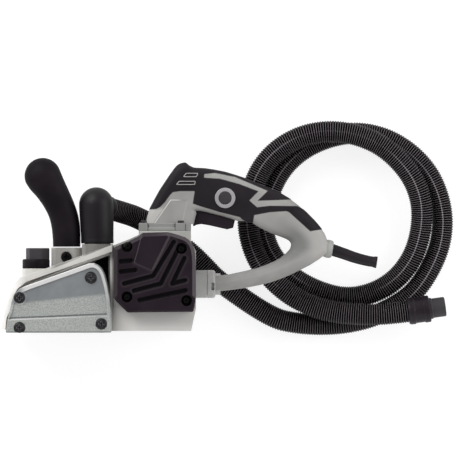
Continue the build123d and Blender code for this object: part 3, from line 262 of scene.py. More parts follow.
def setStage():
    scene = bpy.context.scene
    scene.view_settings.view_transform = "Standard"
    lens = bpy.data.cameras.new("camera")
    lens.sensor_width = view["sensor"]
    lens.lens = view["sensor"] * (view["distance"] - 0.08) / view["width"]
    lens.clip_start, lens.clip_end = 0.1, 60.0
    camera = bpy.data.objects.new("camera", lens)
    camera.location = (*view["centre"], view["distance"])
    scene.collection.objects.link(camera)
    scene.camera = camera

    world = bpy.data.worlds.new("studio")
    world.use_nodes = True
    scene.world = world
    tree = world.node_tree
    tree.nodes.clear()
    lit = addNode(tree, "Background", Color=(1, 1, 1, 1))
    where = addNode(tree, "TexCoord")
    split = addNode(tree, "SeparateXYZ")
    tree.links.new(where.outputs["Generated"], split.inputs[0])
    sky = ranged(tree, split.outputs[2], 0.3, 0.95, view["skyEdge"], view["skyTop"])    # dimmer overhead
    tree.links.new(sky, lit.inputs["Strength"])
    seen = addNode(tree, "Background", Color=(1, 1, 1, 1), Strength=1.0)
    mix = addNode(tree, "MixShader")
    out = addNode(tree, "OutputWorld")
    path = addNode(tree, "LightPath")
    tree.links.new(path.outputs["Is Camera Ray"], mix.inputs[0])
    tree.links.new(lit.outputs[0], mix.inputs[1])
    tree.links.new(seen.outputs[0], mix.inputs[2])
    tree.links.new(mix.outputs[0], out.inputs[0])

    addLamp("keyLamp", view["keyPlace"], view["keySize"], view["keyPower"])
    addLamp("fillLamp", view["fillPlace"], view["fillSize"], view["fillPower"])
    addLamp("lowLamp", view["lowPlace"], view["lowSize"], view["lowPower"])

    paper = bpy.data.materials.new("paper")
    paper.use_nodes = True
    tree = paper.node_tree
    tree.nodes.clear()
    bounce = addNode(tree, "BsdfDiffuse", Color=view["floorBounce"])
    shade = addNode(tree, "BsdfDiffuse", Color=view["floorShade"])
    glow = addNode(tree, "Emission", Color=(1, 1, 1, 1), Strength=view["floorGlow"])
    both = addNode(tree, "AddShader")
    mix = addNode(tree, "MixShader")
    out = addNode(tree, "OutputMaterial")
    tree.links.new(cameraRays(tree), mix.inputs[0])
    tree.links.new(shade.outputs[0], both.inputs[0])
    tree.links.new(glow.outputs[0], both.inputs[1])
    tree.links.new(bounce.outputs[0], mix.inputs[1])
    tree.links.new(both.outputs[0], mix.inputs[2])
    tree.links.new(mix.outputs[0], out.inputs[0])
    reach, low = 5.0, -0.0004
    mesh = bpy.data.meshes.new("floor")
    mesh.from_pydata([(-reach, -reach, low), (reach, -reach, low), (reach, reach, low), (-reach, reach, low)],
                     [], [(0, 1, 2, 3)])
    mesh.materials.append(paper)
    floor = bpy.data.objects.new("floor", mesh)
    scene.collection.objects.link(floor)


setStage()
print("stage set")


# ---- finishes ----------------------------------------------------------------------------------
def startFinish(name, **sockets):
    material = bpy.data.materials.new(name)
    material.use_nodes = True
    tree = material.node_tree
    tree.nodes.clear()
    shader = addNode(tree, "BsdfPrincipled", **sockets)
    out = addNode(tree, "OutputMaterial")
    tree.links.new(shader.outputs[0], out.inputs[0])
    return material, tree, shader


def objectPlace(tree, scale=(1, 1, 1), turn=(0, 0, 0)):
    where = addNode(tree, "TexCoord")
    mapping = addNode(tree, "Mapping")
    mapping.inputs["Scale"].default_value = scale
    mapping.inputs["Rotation"].default_value = turn
    tree.links.new(where.outputs["Object"], mapping.inputs[0])
    return mapping.outputs[0]


def mixColour(tree, share, first, second):
    node = addNode(tree, "Mix", data_type="RGBA")
    for socket, value in ((node.inputs[0], share), (node.inputs[6], first), (node.inputs[7], second)):
        if isinstance(value, (tuple, int, float)):
            socket.default_value = value
        else:
            tree.links.new(value, socket)
    return node.outputs[2]


def noise(tree, where, scale, detail=3.0, rough=0.55):
    node = addNode(tree, "TexNoise", Scale=scale, Detail=detail, Roughness=rough)
    tree.links.new(where, node.inputs["Vector"])
    return node.outputs[0]


def edgeShare(tree, radius):
    # 0 on flat ground, up to 1 on the worn crest of an edge; also gives the rounded normal
    bevel = addNode(tree, "Bevel", samples=6, Radius=radius)
    true = addNode(tree, "NewGeometry")
    dot = addNode(tree, "VectorMath", operation="DOT_PRODUCT")
    tree.links.new(bevel.outputs[0], dot.inputs[0])
    tree.links.new(true.outputs["Normal"], dot.inputs[1])
    return ranged(tree, dot.outputs["Value"], 0.995, 0.86), bevel.outputs[0]


def bumped(tree, shader, height, strength, distance, normal=None):
    bump = addNode(tree, "Bump", Strength=strength, Distance=distance)
    tree.links.new(height, bump.inputs["Height"])
    if normal is not None:
        tree.links.new(normal, bump.inputs["Normal"])
    tree.links.new(bump.outputs[0], shader.inputs["Normal"])


def mouldedFinish(name, look):
    # plastic, rubber and paint: cloudy colour, fine grain, edges a little paler
    material, tree, shader = startFinish(
        name, Metallic=look.get("metal", 0.0), Specular_IOR_Level=look.get("specular", 0.5))
    where = objectPlace(tree)
    cloud = noise(tree, where, look.get("cloud", 28.0), 2.0)
    grain = noise(tree, where, look["grain"], 4.0, 0.6)
    base = mixColour(tree, ranged(tree, cloud, 0.35, 0.65), look["dark"], look["light"])
    edge, rounded = edgeShare(tree, look.get("edge", 0.0008))
    worn = mathNode(tree, "MULTIPLY", edge, look.get("wear", 0.35))
    base = mixColour(tree, worn, base, look["worn"])
    if "mark" in look:    # a marked hollow is painted darker as shade
        mark = addNode(tree, "Attribute", attribute_name=look["mark"])
        split = addNode(tree, "SeparateXYZ")
        tree.links.new(mark.outputs["Vector"], split.inputs[0])
        base = mixColour(tree, split.outputs[0], base, look["deep"])
    tree.links.new(base, shader.inputs["Base Color"])
    rough = ranged(tree, grain, 0.3, 0.7, look["rough"] - 0.05, look["rough"] + 0.07)
    tree.links.new(rough, shader.inputs["Roughness"])
    bumped(tree, shader, grain, look.get("bump", 0.25), look.get("depth", 0.00012), rounded)
    return material


def metalFinish(name, look):
    # turned or drawn metal: fine streaks along one way and a cloudy tone
    material, tree, shader = startFinish(
        name, Metallic=look.get("metal", 1.0), Specular_IOR_Level=look.get("specular", 0.5))
    streakWhere = objectPlace(tree, look.get("stretch", (400, 400, 30)))
    where = objectPlace(tree)
    streak = noise(tree, streakWhere, 1.0, 3.0, 0.6)
    cloud = noise(tree, where, 60.0, 3.0)
    base = mixColour(tree, ranged(tree, cloud, 0.3, 0.7), look["dark"], look["light"])
    edge, rounded = edgeShare(tree, look.get("edge", 0.0005))
    base = mixColour(tree, mathNode(tree, "MULTIPLY", edge, look.get("wear", 0.3)), base, look["worn"])
    tree.links.new(base, shader.inputs["Base Color"])
    rough = ranged(tree, streak, 0.25, 0.75, look["rough"] - 0.06, look["rough"] + 0.08)
    tree.links.new(rough, shader.inputs["Roughness"])
    bumped(tree, shader, streak, look.get("bump", 0.15), 0.0001, rounded)
    return material


looks = {
    "black_plastic": {"dark": linear(26, 20, 26), "light": linear(33, 27, 33), "worn": linear(80, 74, 80),
                      "grain": 2600.0, "rough": 0.42, "bump": 0.2, "wear": 0.35, "specular": 0.2},
    "matt_black": {"dark": linear(19, 15, 19), "light": linear(26, 21, 26), "worn": linear(66, 60, 65),
                   "grain": 2000.0, "rough": 0.56, "bump": 0.25, "wear": 0.3, "specular": 0.08},
    "button_black": {"dark": linear(50, 47, 50), "light": linear(58, 55, 58), "worn": linear(96, 92, 96),
                     "grain": 2000.0, "rough": 0.5, "bump": 0.2, "specular": 0.25},
    "elbow_black": {"dark": linear(13, 9, 13), "light": linear(18, 14, 18), "worn": linear(60, 55, 60),
                    "grain": 1800.0, "rough": 0.5, "bump": 0.25, "wear": 0.2, "specular": 0.24},
    "flange_grey": {"dark": linear(124, 124, 122), "light": linear(133, 133, 131),
                    "worn": linear(176, 176, 174), "grain": 2200.0, "rough": 0.48, "bump": 0.15},
    # painted shade: a darker grey for the underside of the roof's lip
    "lip_shade_grey": {"dark": linear(138, 136, 132), "light": linear(147, 145, 141),
                 "worn": linear(170, 168, 164), "grain": 1600.0, "rough": 0.5, "bump": 0.15},
    "knob_black": {"dark": linear(12, 8, 13), "light": linear(17, 12, 18), "worn": linear(60, 55, 60),
                   "grain": 2000.0, "rough": 0.5, "bump": 0.2, "specular": 0.14},
    "collar_grey": {"dark": linear(154, 154, 152), "light": linear(164, 164, 162),
                    "worn": linear(190, 190, 188), "grain": 2200.0, "rough": 0.48, "bump": 0.15,
                    "mark": "slotShadeMark", "deep": linear(22, 20, 21)},
    "soft_grip": {"dark": linear(22, 18, 22), "light": linear(30, 26, 30), "worn": linear(60, 56, 60),
                  "grain": 1500.0, "rough": 0.62, "bump": 0.35, "specular": 0.15},
    "grey_plastic": {"dark": linear(145, 145, 143), "light": linear(155, 155, 153),
                     "worn": linear(190, 190, 188), "grain": 2200.0, "rough": 0.48, "bump": 0.15},
    "ring_grey": {"dark": linear(140, 138, 141), "light": linear(152, 150, 152), "worn": linear(190, 190, 190),
                  "grain": 2000.0, "rough": 0.38, "bump": 0.1, "wear": 0.5},
    "belt_rubber": {"dark": linear(25, 20, 25), "light": linear(33, 28, 33), "worn": linear(58, 54, 57),
                    "grain": 1300.0, "rough": 0.55, "bump": 0.3, "specular": 0.2},
    "carbon": {"dark": linear(40, 40, 42), "light": linear(56, 56, 58), "worn": linear(80, 80, 82),
               "grain": 3000.0, "rough": 0.6, "bump": 0.3},
}
metals = {
    "steel": {"dark": linear(168, 168, 170), "light": linear(192, 192, 193), "worn": linear(228, 228, 228),
              "rough": 0.3},
    "dark_screws": {"dark": linear(34, 33, 36), "light": linear(50, 49, 52), "worn": linear(170, 168, 172),
                    "rough": 0.36, "metal": 0.6, "stretch": (900, 900, 900), "wear": 0.8, "edge": 0.0006},
    "black_screws": {"dark": linear(6, 5, 6), "light": linear(11, 10, 11), "worn": linear(24, 22, 24),
                     "rough": 0.7, "metal": 0.0, "specular": 0.12, "stretch": (900, 900, 900), "wear": 0.4,
                     "edge": 0.0004},
    "laminations": {"dark": linear(110, 112, 118), "light": linear(140, 142, 146),
                    "worn": linear(180, 180, 184), "rough": 0.42, "stretch": (20, 20, 1600), "bump": 0.5},
    "copper": {"dark": linear(168, 92, 50), "light": linear(196, 112, 66), "worn": linear(226, 150, 100),
               "rough": 0.34, "stretch": (900, 900, 60), "bump": 0.4},
    "carbide": {"dark": linear(96, 96, 102), "light": linear(128, 128, 134), "worn": linear(190, 190, 194),
                "rough": 0.26},
}


def paintedCasting():
    # sprayed castings: the guard in a paler coat than the motor box, with orange peel; painted light and shade on the
    # bosses, inside the guard, on the front wall and on the strip under the motor cover
    look = {"guardDark": linear(188, 187, 182), "guardLight": linear(202, 200, 195),
            "boxDark": linear(160, 159, 156), "boxLight": linear(171, 169, 166),
            "worn": linear(222, 220, 216), "gap": linear(26, 24, 25), "joint": -0.0996, "rough": 0.4,
            "roofSlope": 0.4004, "roofStart": 0.0333, "boss": linear(138, 136, 132),
            "bossPaintedLight": linear(166, 164, 160), "bossHighlight": linear(196, 194, 190), "spigot": linear(120, 118, 114), "bossFrom": -0.1812, "bossWide": 0.0392, "wall": -0.1037,
            "hollowShade": linear(4, 4, 5), "stripPaintedLight": linear(204, 202, 199), "stripPaintedShade": linear(174, 172, 169),
            "lit": linear(246, 244, 240)}
    material, tree, shader = startFinish("paintedCasting", Metallic=0.1, Specular_IOR_Level=0.45)
    where = objectPlace(tree)
    split = addNode(tree, "SeparateXYZ")
    tree.links.new(where, split.inputs[0])
    box = ranged(tree, split.outputs[0], look["joint"] - 0.0002, look["joint"] + 0.0002)
    cloud = ranged(tree, noise(tree, where, 22.0, 3.0), 0.35, 0.65)
    guard = mixColour(tree, cloud, look["guardDark"], look["guardLight"])
    motor = mixColour(tree, cloud, look["boxDark"], look["boxLight"])
    base = mixColour(tree, box, guard, motor)
    aside = mathNode(tree, "ABSOLUTE", mathNode(tree, "SUBTRACT", split.outputs[0], look["joint"]))
    gap = mathNode(tree, "MULTIPLY", ranged(tree, aside, 0.0007, 0.0004, 0.0, 0.9),
                   ranged(tree, split.outputs[2], 0.09, 0.095))
    base = mixColour(tree, gap, base, look["gap"])
    # above the roof line the bosses and the spigot are painted in light and shade: a painted highlight on the left of
    # each boss, paler paint where the front handle's shadow falls, darker paint on the spigot; inside the guard the
    # walls are painted black as shade
    roof = mathNode(tree, "SUBTRACT", split.outputs[1], mathNode(
        tree, "MULTIPLY_ADD", split.outputs[0], look["roofSlope"], look["roofStart"]))
    boss = mathNode(tree, "MULTIPLY", ranged(tree, roof, 0.0066, 0.0072, 0.0, 1.0), ranged(
        tree, split.outputs[0], look["bossFrom"], look["bossFrom"] + 0.0002))
    boss = mathNode(tree, "MULTIPLY", boss, ranged(tree, split.outputs[0], look["joint"], look["joint"] - 0.0002))
    # painted highlight: paler on the left side of each boss, falling off to the right
    fall = mathNode(tree, "FRACT", mathNode(tree, "MULTIPLY", mathNode(
        tree, "SUBTRACT", split.outputs[0], look["bossFrom"]), 1 / look["bossWide"]))
    paintedTone = mixColour(tree, ranged(tree, split.outputs[0], -0.166, -0.15), look["boss"], look["bossPaintedLight"])
    paintedTone = mixColour(tree, ranged(tree, split.outputs[0], -0.1424, -0.1416), paintedTone, look["spigot"])
    base = mixColour(tree, boss, base, mixColour(tree, ranged(tree, fall, 0.0, 0.2), look["bossHighlight"], paintedTone))
    # painted shade: the walls deep in the guard, behind the cover's corner, are painted near black
    hollowShade = mathNode(tree, "MULTIPLY", ranged(tree, roof, -0.002, -0.0024), ranged(
        tree, split.outputs[0], look["wall"] + 0.0001, look["wall"] - 0.0001))
    hollowShade = mathNode(tree, "MULTIPLY", hollowShade, ranged(tree, split.outputs[0], -0.13, -0.1298))
    for low, high, axis in ((0.03, 0.031, 2), (0.1272, 0.1268, 2), (-0.062, -0.06, 1)):
        hollowShade = mathNode(tree, "MULTIPLY", hollowShade, ranged(tree, split.outputs[axis], low, high))
    base = mixColour(tree, hollowShade, base, look["hollowShade"])
    # painted light: the left end of the front wall is painted paler
    base = mixColour(tree, ranged(tree, split.outputs[0], -0.212, -0.226), base, look["lit"])
    # painted light: the strip under the motor cover is painted paler to cancel the cover's shadow, less so towards the
    # left
    stripPaintedLight = mathNode(tree, "MULTIPLY", ranged(tree, split.outputs[1], -0.08, -0.084), box)
    base = mixColour(tree, stripPaintedLight, base, mixColour(
        tree, ranged(tree, split.outputs[0], -0.072, -0.094), look["stripPaintedLight"], look["stripPaintedShade"]))
    edge, rounded = edgeShare(tree, 0.0009)
    base = mixColour(tree, mathNode(tree, "MULTIPLY", edge, 0.45), base, look["worn"])
    tree.links.new(base, shader.inputs["Base Color"])
    peel = noise(tree, where, 700.0, 3.0, 0.5)
    tree.links.new(ranged(tree, peel, 0.3, 0.7, look["rough"] - 0.05, look["rough"] + 0.08),
                   shader.inputs["Roughness"])
    bumped(tree, shader, peel, 0.22, 0.00015, rounded)
    return material


finishes = {name: mouldedFinish(name, look) for name, look in looks.items()}
finishes.update({name: metalFinish(name, look) for name, look in metals.items()})
finishes["housing_paint"] = paintedCasting()
finishes["cast_cover"] = metalFinish("cast_cover", {
    "dark": linear(150, 153, 155), "light": linear(172, 174, 175), "worn": linear(220, 220, 222),
    "rough": 0.5, "metal": 0.3, "stretch": (900, 900, 900), "bump": 0.4})
finishes["hose_plastic"] = finishes["black_plastic"]

for part in frame["record"]["subparts"]:
    node = frame["nodes"][part["node"]]
    for slot in node.material_slots:
        slot.material = finishes[part["material_slot"]]
# screws, button and collars take their own finishes; the nozzle's paler black stands in for its sheen as painted light
for name, finish in (("motor_cover_screws", "black_screws"), ("front_handle_screw", "black_screws"),
                     ("lock_button", "button_black"), ("rear_spigot", "collar_grey"),
                     ("hose_nozzle", "button_black")):
    for slot in frame["nodes"][name].material_slots:
        slot.material = finishes[finish]
print("finishes ready")


# ---- D handle ----------------------------------------------------------------------------------
handleShape = {
    "mid": 88.0, "rows": 560, "flat": 40, "side": 22, "corner": 8, "crown": 0.4, "softRaise": 0.5,
    "slotHalf": 11.2, "insetDepth": 0.8,
    # outer x, y and inner x, y on the drawing grid; half thickness, corner, trigger slot, inner fall in mm
    "stations": [
        (146, 224.5, 194.8, 224.5, 17.2, 8, 4, 0), (146, 222.5, 194.8, 222.5, 17.2, 8, 4, 0),
        (147.5, 215.5, 196.4, 216, 17.2, 8, 4, 0), (149.5, 209.5, 197.3, 213, 17.2, 8.5, 6, 0),
        (155, 199, 196, 211.5, 17.2, 9, 14, 0), (160, 190, 197, 211.2, 17.2, 9, 20, 0),
        (170, 175, 200, 211.5, 17.2, 9, 22, 0), (175, 168, 203, 212, 17.2, 9, 22, 0),
        (178, 165, 206, 212.7, 17.2, 9, 20, 0), (181, 163.5, 208, 213.2, 17.2, 9, 20, 0),
        (186, 162.5, 210, 213.8, 17.2, 9, 21, 0), (189, 165.5, 213, 214.5, 17.2, 9.5, 22, 0),
        (194, 168, 217, 215.5, 17.2, 9.5, 20, 0), (205, 168.5, 224, 217.5, 17.2, 10, 16, 0),
        (215, 170, 230, 219.3, 17.2, 10, 17, 0), (225, 172, 235, 221, 17.2, 10, 18.5, 0),
        (235, 175, 240, 222, 17.2, 10, 15.5, 0), (244, 178, 245, 222, 17.2, 10, 0, 0),
        (252, 181, 250, 221.5, 17.2, 10, 0, 0), (260, 184.5, 254, 224, 17.2, 10, 0, 0),
        (270, 189, 259, 227.3, 17.2, 10.5, 0, 0.5), (280, 193, 265, 230.5, 17.2, 11, 0, 1.2),
        (290, 199, 271, 233.3, 17.2, 11, 0, 2), (298, 205, 277, 235.5, 17.2, 11, 0, 2.8),
        (306, 212, 282, 237.3, 17.2, 11, 0, 3.6), (314, 220, 286, 239, 17.2, 11, 0, 4.4),
        (320, 227, 289, 240.8, 17, 10.5, 0, 5), (325, 234, 290.5, 242.8, 16.8, 10, 0, 5),
        (328, 243, 291, 244.5, 16.6, 9, 0, 5), (328, 252, 290.6, 246.5, 16.4, 9, 0, 5),
        (320, 258.5, 290, 248.5, 16.2, 9, 0, 5), (310, 265, 288, 251, 16, 9, 0, 4.6),
        (300, 270, 285, 254, 15.8, 9, 0, 4), (290, 275, 280.5, 257.8, 15.6, 9, 0, 3.2),
        (280, 279, 274, 261.3, 15.4, 9, 0, 2.4), (270, 282.5, 266, 264.8, 15.2, 9, 0, 1.8),
        (260, 285, 257, 268, 15, 8.8, 0, 1.3), (245, 288, 243, 271.3, 15, 8.6, 0, 1),
        (230, 290, 228.5, 274.4, 15, 8.4, 0, 0.8), (215, 291.7, 214.5, 275.7, 15, 8.2, 0, 0.6),
        (208, 292.2, 208, 276.2, 15, 8.2, 0, 0.6)],
    # soft overmould, and the hard stripe left free in it, in mm from the tip and the sole
    "softZone": [
        (150, 158), (200.2, 160.6), (205.4, 163.2), (211.9, 169.7), (218.4, 178.8), (222.3, 182.7),
        (231.4, 184), (251, 184), (248.3, 167.7), (257.4, 164.5), (283.4, 156.7), (309.4, 150.2),
        (312, 147.6), (315.9, 145), (325, 138), (327.6, 152.8), (348.4, 156.7), (369.2, 158),
        (373.1, 156.7), (400.4, 132), (413.4, 133.9), (440, 134), (440, 240), (150, 240)],
    "stripeZone": [
        (262.6, 206), (276.9, 207.4), (302.9, 202.2), (328.9, 191.1), (345.8, 184), (332.8, 171.6),
        (374.4, 172.9), (392, 170), (392, 160), (383.5, 164), (348.4, 164.5), (331.5, 162.5),
        (321.1, 171.6), (332.8, 183.3), (309.4, 192.4), (283.4, 199.6), (262.6, 200.9)],
    "inset": [(150.6, 228.6), (170.6, 199.8), (188, 199.8), (186.5, 206), (181.2, 228.6)],
    "vents": [[(186.2, 173.4), (197.8, 173.4), (196.6, 176.8), (183.6, 176.8)],
              [(179.2, 181.4), (195.4, 181.4), (194.6, 184.6), (176.6, 184.6)]],
    "ventWidth": 1.05, "ventHigh": 0.5,
}


def handleFinish():
    # hard grey moulding and soft black overmould in one skin, parted where the mark crosses zero
    look = {"greyDark": linear(138, 137, 135), "greyLight": linear(149, 148, 146),
            "greyWorn": linear(190, 190, 188), "softDark": linear(20, 16, 20), "softLight": linear(28, 23, 28),
            "softWorn": linear(60, 56, 60), "seam": linear(14, 12, 14), "line": linear(222, 221, 218),
            "paintedShade": linear(108, 108, 106), "lit": linear(180, 178, 175)}
    material, tree, shader = startFinish("handleSkin", Specular_IOR_Level=0.2)
    mark = addNode(tree, "Attribute", attribute_name="handleMark")
    split = addNode(tree, "SeparateXYZ")
    tree.links.new(mark.outputs["Vector"], split.inputs[0])
    soft = ranged(tree, split.outputs[0], -0.06, 0.06)
    where = objectPlace(tree)
    cloud = ranged(tree, noise(tree, where, 32.0, 2.0), 0.35, 0.65)
    edge, rounded = edgeShare(tree, 0.0008)
    grey = mixColour(tree, cloud, look["greyDark"], look["greyLight"])
    grey = mixColour(tree, mathNode(tree, "MULTIPLY", edge, 0.4), grey, look["greyWorn"])
    paintedTone = addNode(tree, "Attribute", attribute_name="handleLightAndShade")
    tones = addNode(tree, "SeparateXYZ")
    tree.links.new(paintedTone.outputs["Vector"], tones.inputs[0])
    # painted shade (greyer) and painted light (paler) on the grey plastic, from the handle's shade attribute
    grey = mixColour(tree, mathNode(tree, "MULTIPLY", tones.outputs[0], 0.8), grey, look["paintedShade"])
    grey = mixColour(tree, tones.outputs[1], grey, look["lit"])
    black = mixColour(tree, cloud, look["softDark"], look["softLight"])
    black = mixColour(tree, mathNode(tree, "MULTIPLY", edge, 0.4), black, look["softWorn"])
    base = mixColour(tree, soft, grey, black)
    joint = ranged(tree, mathNode(tree, "ABSOLUTE", mathNode(tree, "ADD", split.outputs[0], 0.25)), 0.35, 0.1)
    base = mixColour(tree, mathNode(tree, "MULTIPLY", joint, 0.7), base, look["seam"])
    # painted highlight along the inset's crests
    crestHighlight = ranged(tree, mathNode(tree, "ABSOLUTE", mathNode(tree, "ADD", split.outputs[1], -0.4)), 0.9, 0.3)
    base = mixColour(tree, mathNode(tree, "MULTIPLY", crestHighlight, split.outputs[2]), base, look["line"])
    tree.links.new(base, shader.inputs["Base Color"])
    grain = noise(tree, where, 1600.0, 4.0, 0.6)
    rough = mixColour(tree, soft, (0.5, 0.5, 0.5, 1), (0.62, 0.62, 0.62, 1))
    tree.links.new(rough, shader.inputs["Roughness"])
    bumped(tree, shader, mathNode(tree, "MULTIPLY", grain, ranged(tree, soft, 0, 1, 0.35, 1.0)), 0.35, 0.00014,
           rounded)
    return material


def makeHandle():
    # section = rounded bar between the outer and the inner line, half thick across the split plane
    shape = handleShape
    table = np.array(shape["stations"], float)
    outer, inner = overlay(table[:, 0:2]), overlay(table[:, 2:4])
    steps = (np.linalg.norm(np.diff(outer, axis=0), axis=1) + np.linalg.norm(np.diff(inner, axis=0), axis=1)) / 2
    run = np.concatenate([[0.0], np.cumsum(steps)])
    at = np.linspace(0.0, run[-1], shape["rows"])
    columns = np.column_stack([outer, inner, table[:, 4:]])
    even = np.column_stack([np.interp(at, run, columns[:, k]) for k in range(8)])
    even = softened(even, 4)
    outer, inner, (half, corner, slot, fall) = even[:, 0:2], even[:, 2:4], even[:, 4:].T
    width = np.linalg.norm(outer - inner, axis=1)
    out = (outer - inner) / width[:, None]
    sx, sz, cx, cz = sectionRing(shape["flat"], shape["side"], shape["corner"])
    aside = sx[None] * (width / 2 - corner)[:, None] + cx[None] * corner[:, None]
    lift = sz[None] * (half - corner)[:, None] + cz[None] * corner[:, None]
    lift += shape["crown"] * (1 - sx[None] ** 2) * cz[None]
    share = np.clip(0.5 - aside / width[:, None], 0.0, 1.0)    # 0 at the outer line, 1 at the inner line
    lift -= np.sign(lift) * 1.08 * fall[:, None] * smooth(share, 0.35, 1.05) * smooth(np.abs(lift), 2.0, 12.0)
    shade = smooth(share, 0.38, 0.72) * np.clip(fall / 4.6, 0.0, 1.0)[:, None]    # painted shade on the inner side of the tail loop
    # painted shade over the last third of the run, along the lower arm
    shade = np.maximum(shade, 0.3 * smooth(at, run[-1] * 0.66, run[-1] * 0.72)[:, None])
    middle = (outer + inner) / 2
    x = middle[:, :1] + out[:, :1] * aside
    y = middle[:, 1:] + out[:, 1:] * aside
    soft = np.minimum(sideDistance(x, y, shape["softZone"]), -sideDistance(x, y, shape["stripeZone"]))
    inset = sideDistance(x, y, overlay(shape["inset"]))
    push = shape["softRaise"] * smooth(soft, -0.4, 0.5)
    push = push - shape["insetDepth"] * smooth(inset, -0.2, 1.0) * (np.abs(cz)[None] > 0.99)
    lit = 0.9 * smooth(x - 193.2 - 0.695 * (y - 135.1), -0.6, -1.8) * smooth(y, 164.0, 158.0)
    lit = np.maximum(lit, 0.4 * smooth(x, 392.0, 412.0) * (1 - shade))    # painted light: palest at the front of the neck and the tail
    lineLit = smooth(x, 236.0, 226.0) * 0.75 + 0.1    # painted highlight on the inset's crests, palest on the left and upper crests
    inSlot = (np.abs(lift) < shape["slotHalf"]) & (cx[None] < -0.2)
    spread = 0.99 * shape["slotHalf"] / np.max(np.where(inSlot, np.abs(lift), 0.1), axis=1, keepdims=True)
    lift = np.where(inSlot, lift * (1 + (spread - 1) * smooth(slot, 0.0, 6.0)[:, None]), lift)    # slot walls upright
    slide = push * cx[None] + slot[:, None] * inSlot
    x = x + out[:, :1] * slide
    y = y + out[:, 1:] * slide
    z = shape["mid"] + lift + push * cz[None]
    handle = surface("handleSkin", toFrame(np.stack([x, y, z], -1)), handleFinish(), wrapV=True,
                     capStart=True, capEnd=True,
                     marks={"handleMark": np.stack([soft, inset, lineLit * (lift > 0)], -1),
                            "handleLightAndShade": np.stack([shade, lit, shade], -1)})
    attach(handle, "machine")
    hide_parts("handle_shell_left", "handle_shell_right", "handle_grip_left", "handle_grip_right")
    return handle


def makeFrame(name, outline, width, low, high, finish):
    # a thin raised line of even width round a closed outline
    loop = roundLoop(outline, 120, 2)
    ahead = np.roll(loop, -1, 0) - np.roll(loop, 1, 0)
    ahead /= np.linalg.norm(ahead, axis=1)[:, None]
    away = np.column_stack([ahead[:, 1], -ahead[:, 0]])
    corners = np.array([(0.5, 0.0), (0.5, 0.7), (0.3, 1.0), (-0.3, 1.0), (-0.5, 0.7), (-0.5, 0.0)])
    flat = loop[:, None, :] + corners[None, :, :1] * width * away[:, None, :]
    level = np.broadcast_to(low + corners[None, :, 1] * (high - low), flat.shape[:2])
    piece = surface(name, toFrame(np.concatenate([flat, level[..., None]], -1)), finish, wrapU=True, wrapV=True)
    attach(piece, "machine")
    return piece


def makeNeckFlange():
    # foot of the handle: a rounded plate with columns for its screws and sunk panels between them
    low, high, rounding = 132.03, 142.4, 3.0
    middle, half = np.array([211.85, 88.0]), np.array([33.85, 27.0])
    sx, sz, cx, cz = sectionRing(240, 60, 6)
    level = np.concatenate([[low], np.linspace(low + 0.4, high - 0.8, 20), [high - 0.3, high]])
    shrink = np.concatenate([[0.4], np.zeros(20), [0.25, 0.8]])
    x = middle[0] + sx * (half[0] - rounding) + cx * (rounding - shrink[:, None])
    z = middle[1] + sz * (half[1] - rounding) + cz * (rounding - shrink[:, None])
    y = np.broadcast_to(level[:, None], x.shape)    # sunk panel with a column and thin joints on each side
    panel = smooth(x, 189.0, 190.0) * smooth(x, 226.4, 225.4)
    lines = np.exp(-((x - 190.0) / 0.6) ** 2) + np.exp(-((x - 225.4) / 0.6) ** 2) + np.exp(-((x - 238.6) / 0.6) ** 2)
    sink = (3.0 * panel * smooth(y, 135.8, 136.8) + 1.6 * lines) * (np.abs(cz) > 0.99)
    flange = surface("neckFlange", toFrame(np.stack([x, y, z - sink * np.sign(cz)], -1)),
                     finishes["flange_grey"], wrapV=True, capStart=True, capEnd=True)
    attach(flange, "machine")


def makeCollars():
    # round sockets of the handle: the lower one clamps the spigot, the rear one holds the cord guard
    angle = np.linspace(0.0, 2 * np.pi, 200, endpoint=False)
    start, end = 266.6, 277.6
    along = np.array([start, start + 0.05, start + 0.3, start + 0.6, *np.linspace(start + 1.0, end - 3.0, 44),
                      end - 2.2, end - 1.4, end - 0.7, end - 0.2, end])
    round_ = np.concatenate([[6.0, 0.8, 0.3, 0.08], np.zeros(44), [0.25, 0.8, 1.6, 2.8, 8.0]])
    x = np.broadcast_to(along[:, None], (len(along), len(angle)))
    deep = smooth(np.abs(x - 274.0), 1.9, 1.5) * smooth(np.abs(18 * np.sin(angle)[None] - (60.0 - 63.0)), 5.2, 4.7)
    deep = deep * (np.cos(angle)[None] > 0)
    radius = 18.1 - round_[:, None] - 4.2 * deep
    y = 63.0 + radius * np.sin(angle)[None]
    z = 88.0 + radius * np.cos(angle)[None]
    # the slot's share goes to the finish as painted shade in the slot
    lower = surface("lowerCollar", toFrame(np.stack([x, y, z], -1)), finishes["collar_grey"], wrapV=True,
                    capStart=True, capEnd=True, marks={"slotShadeMark": np.repeat(deep[..., None], 3, -1)})
    tilt = math.radians(-9.0)
    way = (math.cos(tilt), math.sin(tilt), 0.0)
    bulge = np.linspace(0.0, np.pi / 2, 12)
    nose = turned("noseCollar", [(8.4, -13), (10.6, -11.6), (11.5, -9.5), (11.8, -7.5),
                                 *zip(11.8 - 3.6 * (1 - np.cos(bulge)), -4.4 + 4.4 * np.sin(bulge)), (7.0, -0.4)],
                  (430.0, 107.9, 88.0), way, finishes["grey_plastic"], around=96)
    for piece in (lower, nose):
        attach(piece, "machine")


handleTop = handleShape["mid"] + 17.2 + handleShape["crown"] + handleShape["softRaise"]
makeHandle()
for number, outline in enumerate(handleShape["vents"]):
    vent = makeFrame(f"ventFrame{number}", overlay(outline), handleShape["ventWidth"], handleTop - 0.6,
                     handleTop + handleShape["ventHigh"] - 0.25, finishes["grey_plastic"])
makeNeckFlange()
makeCollars()
print("handle ready")


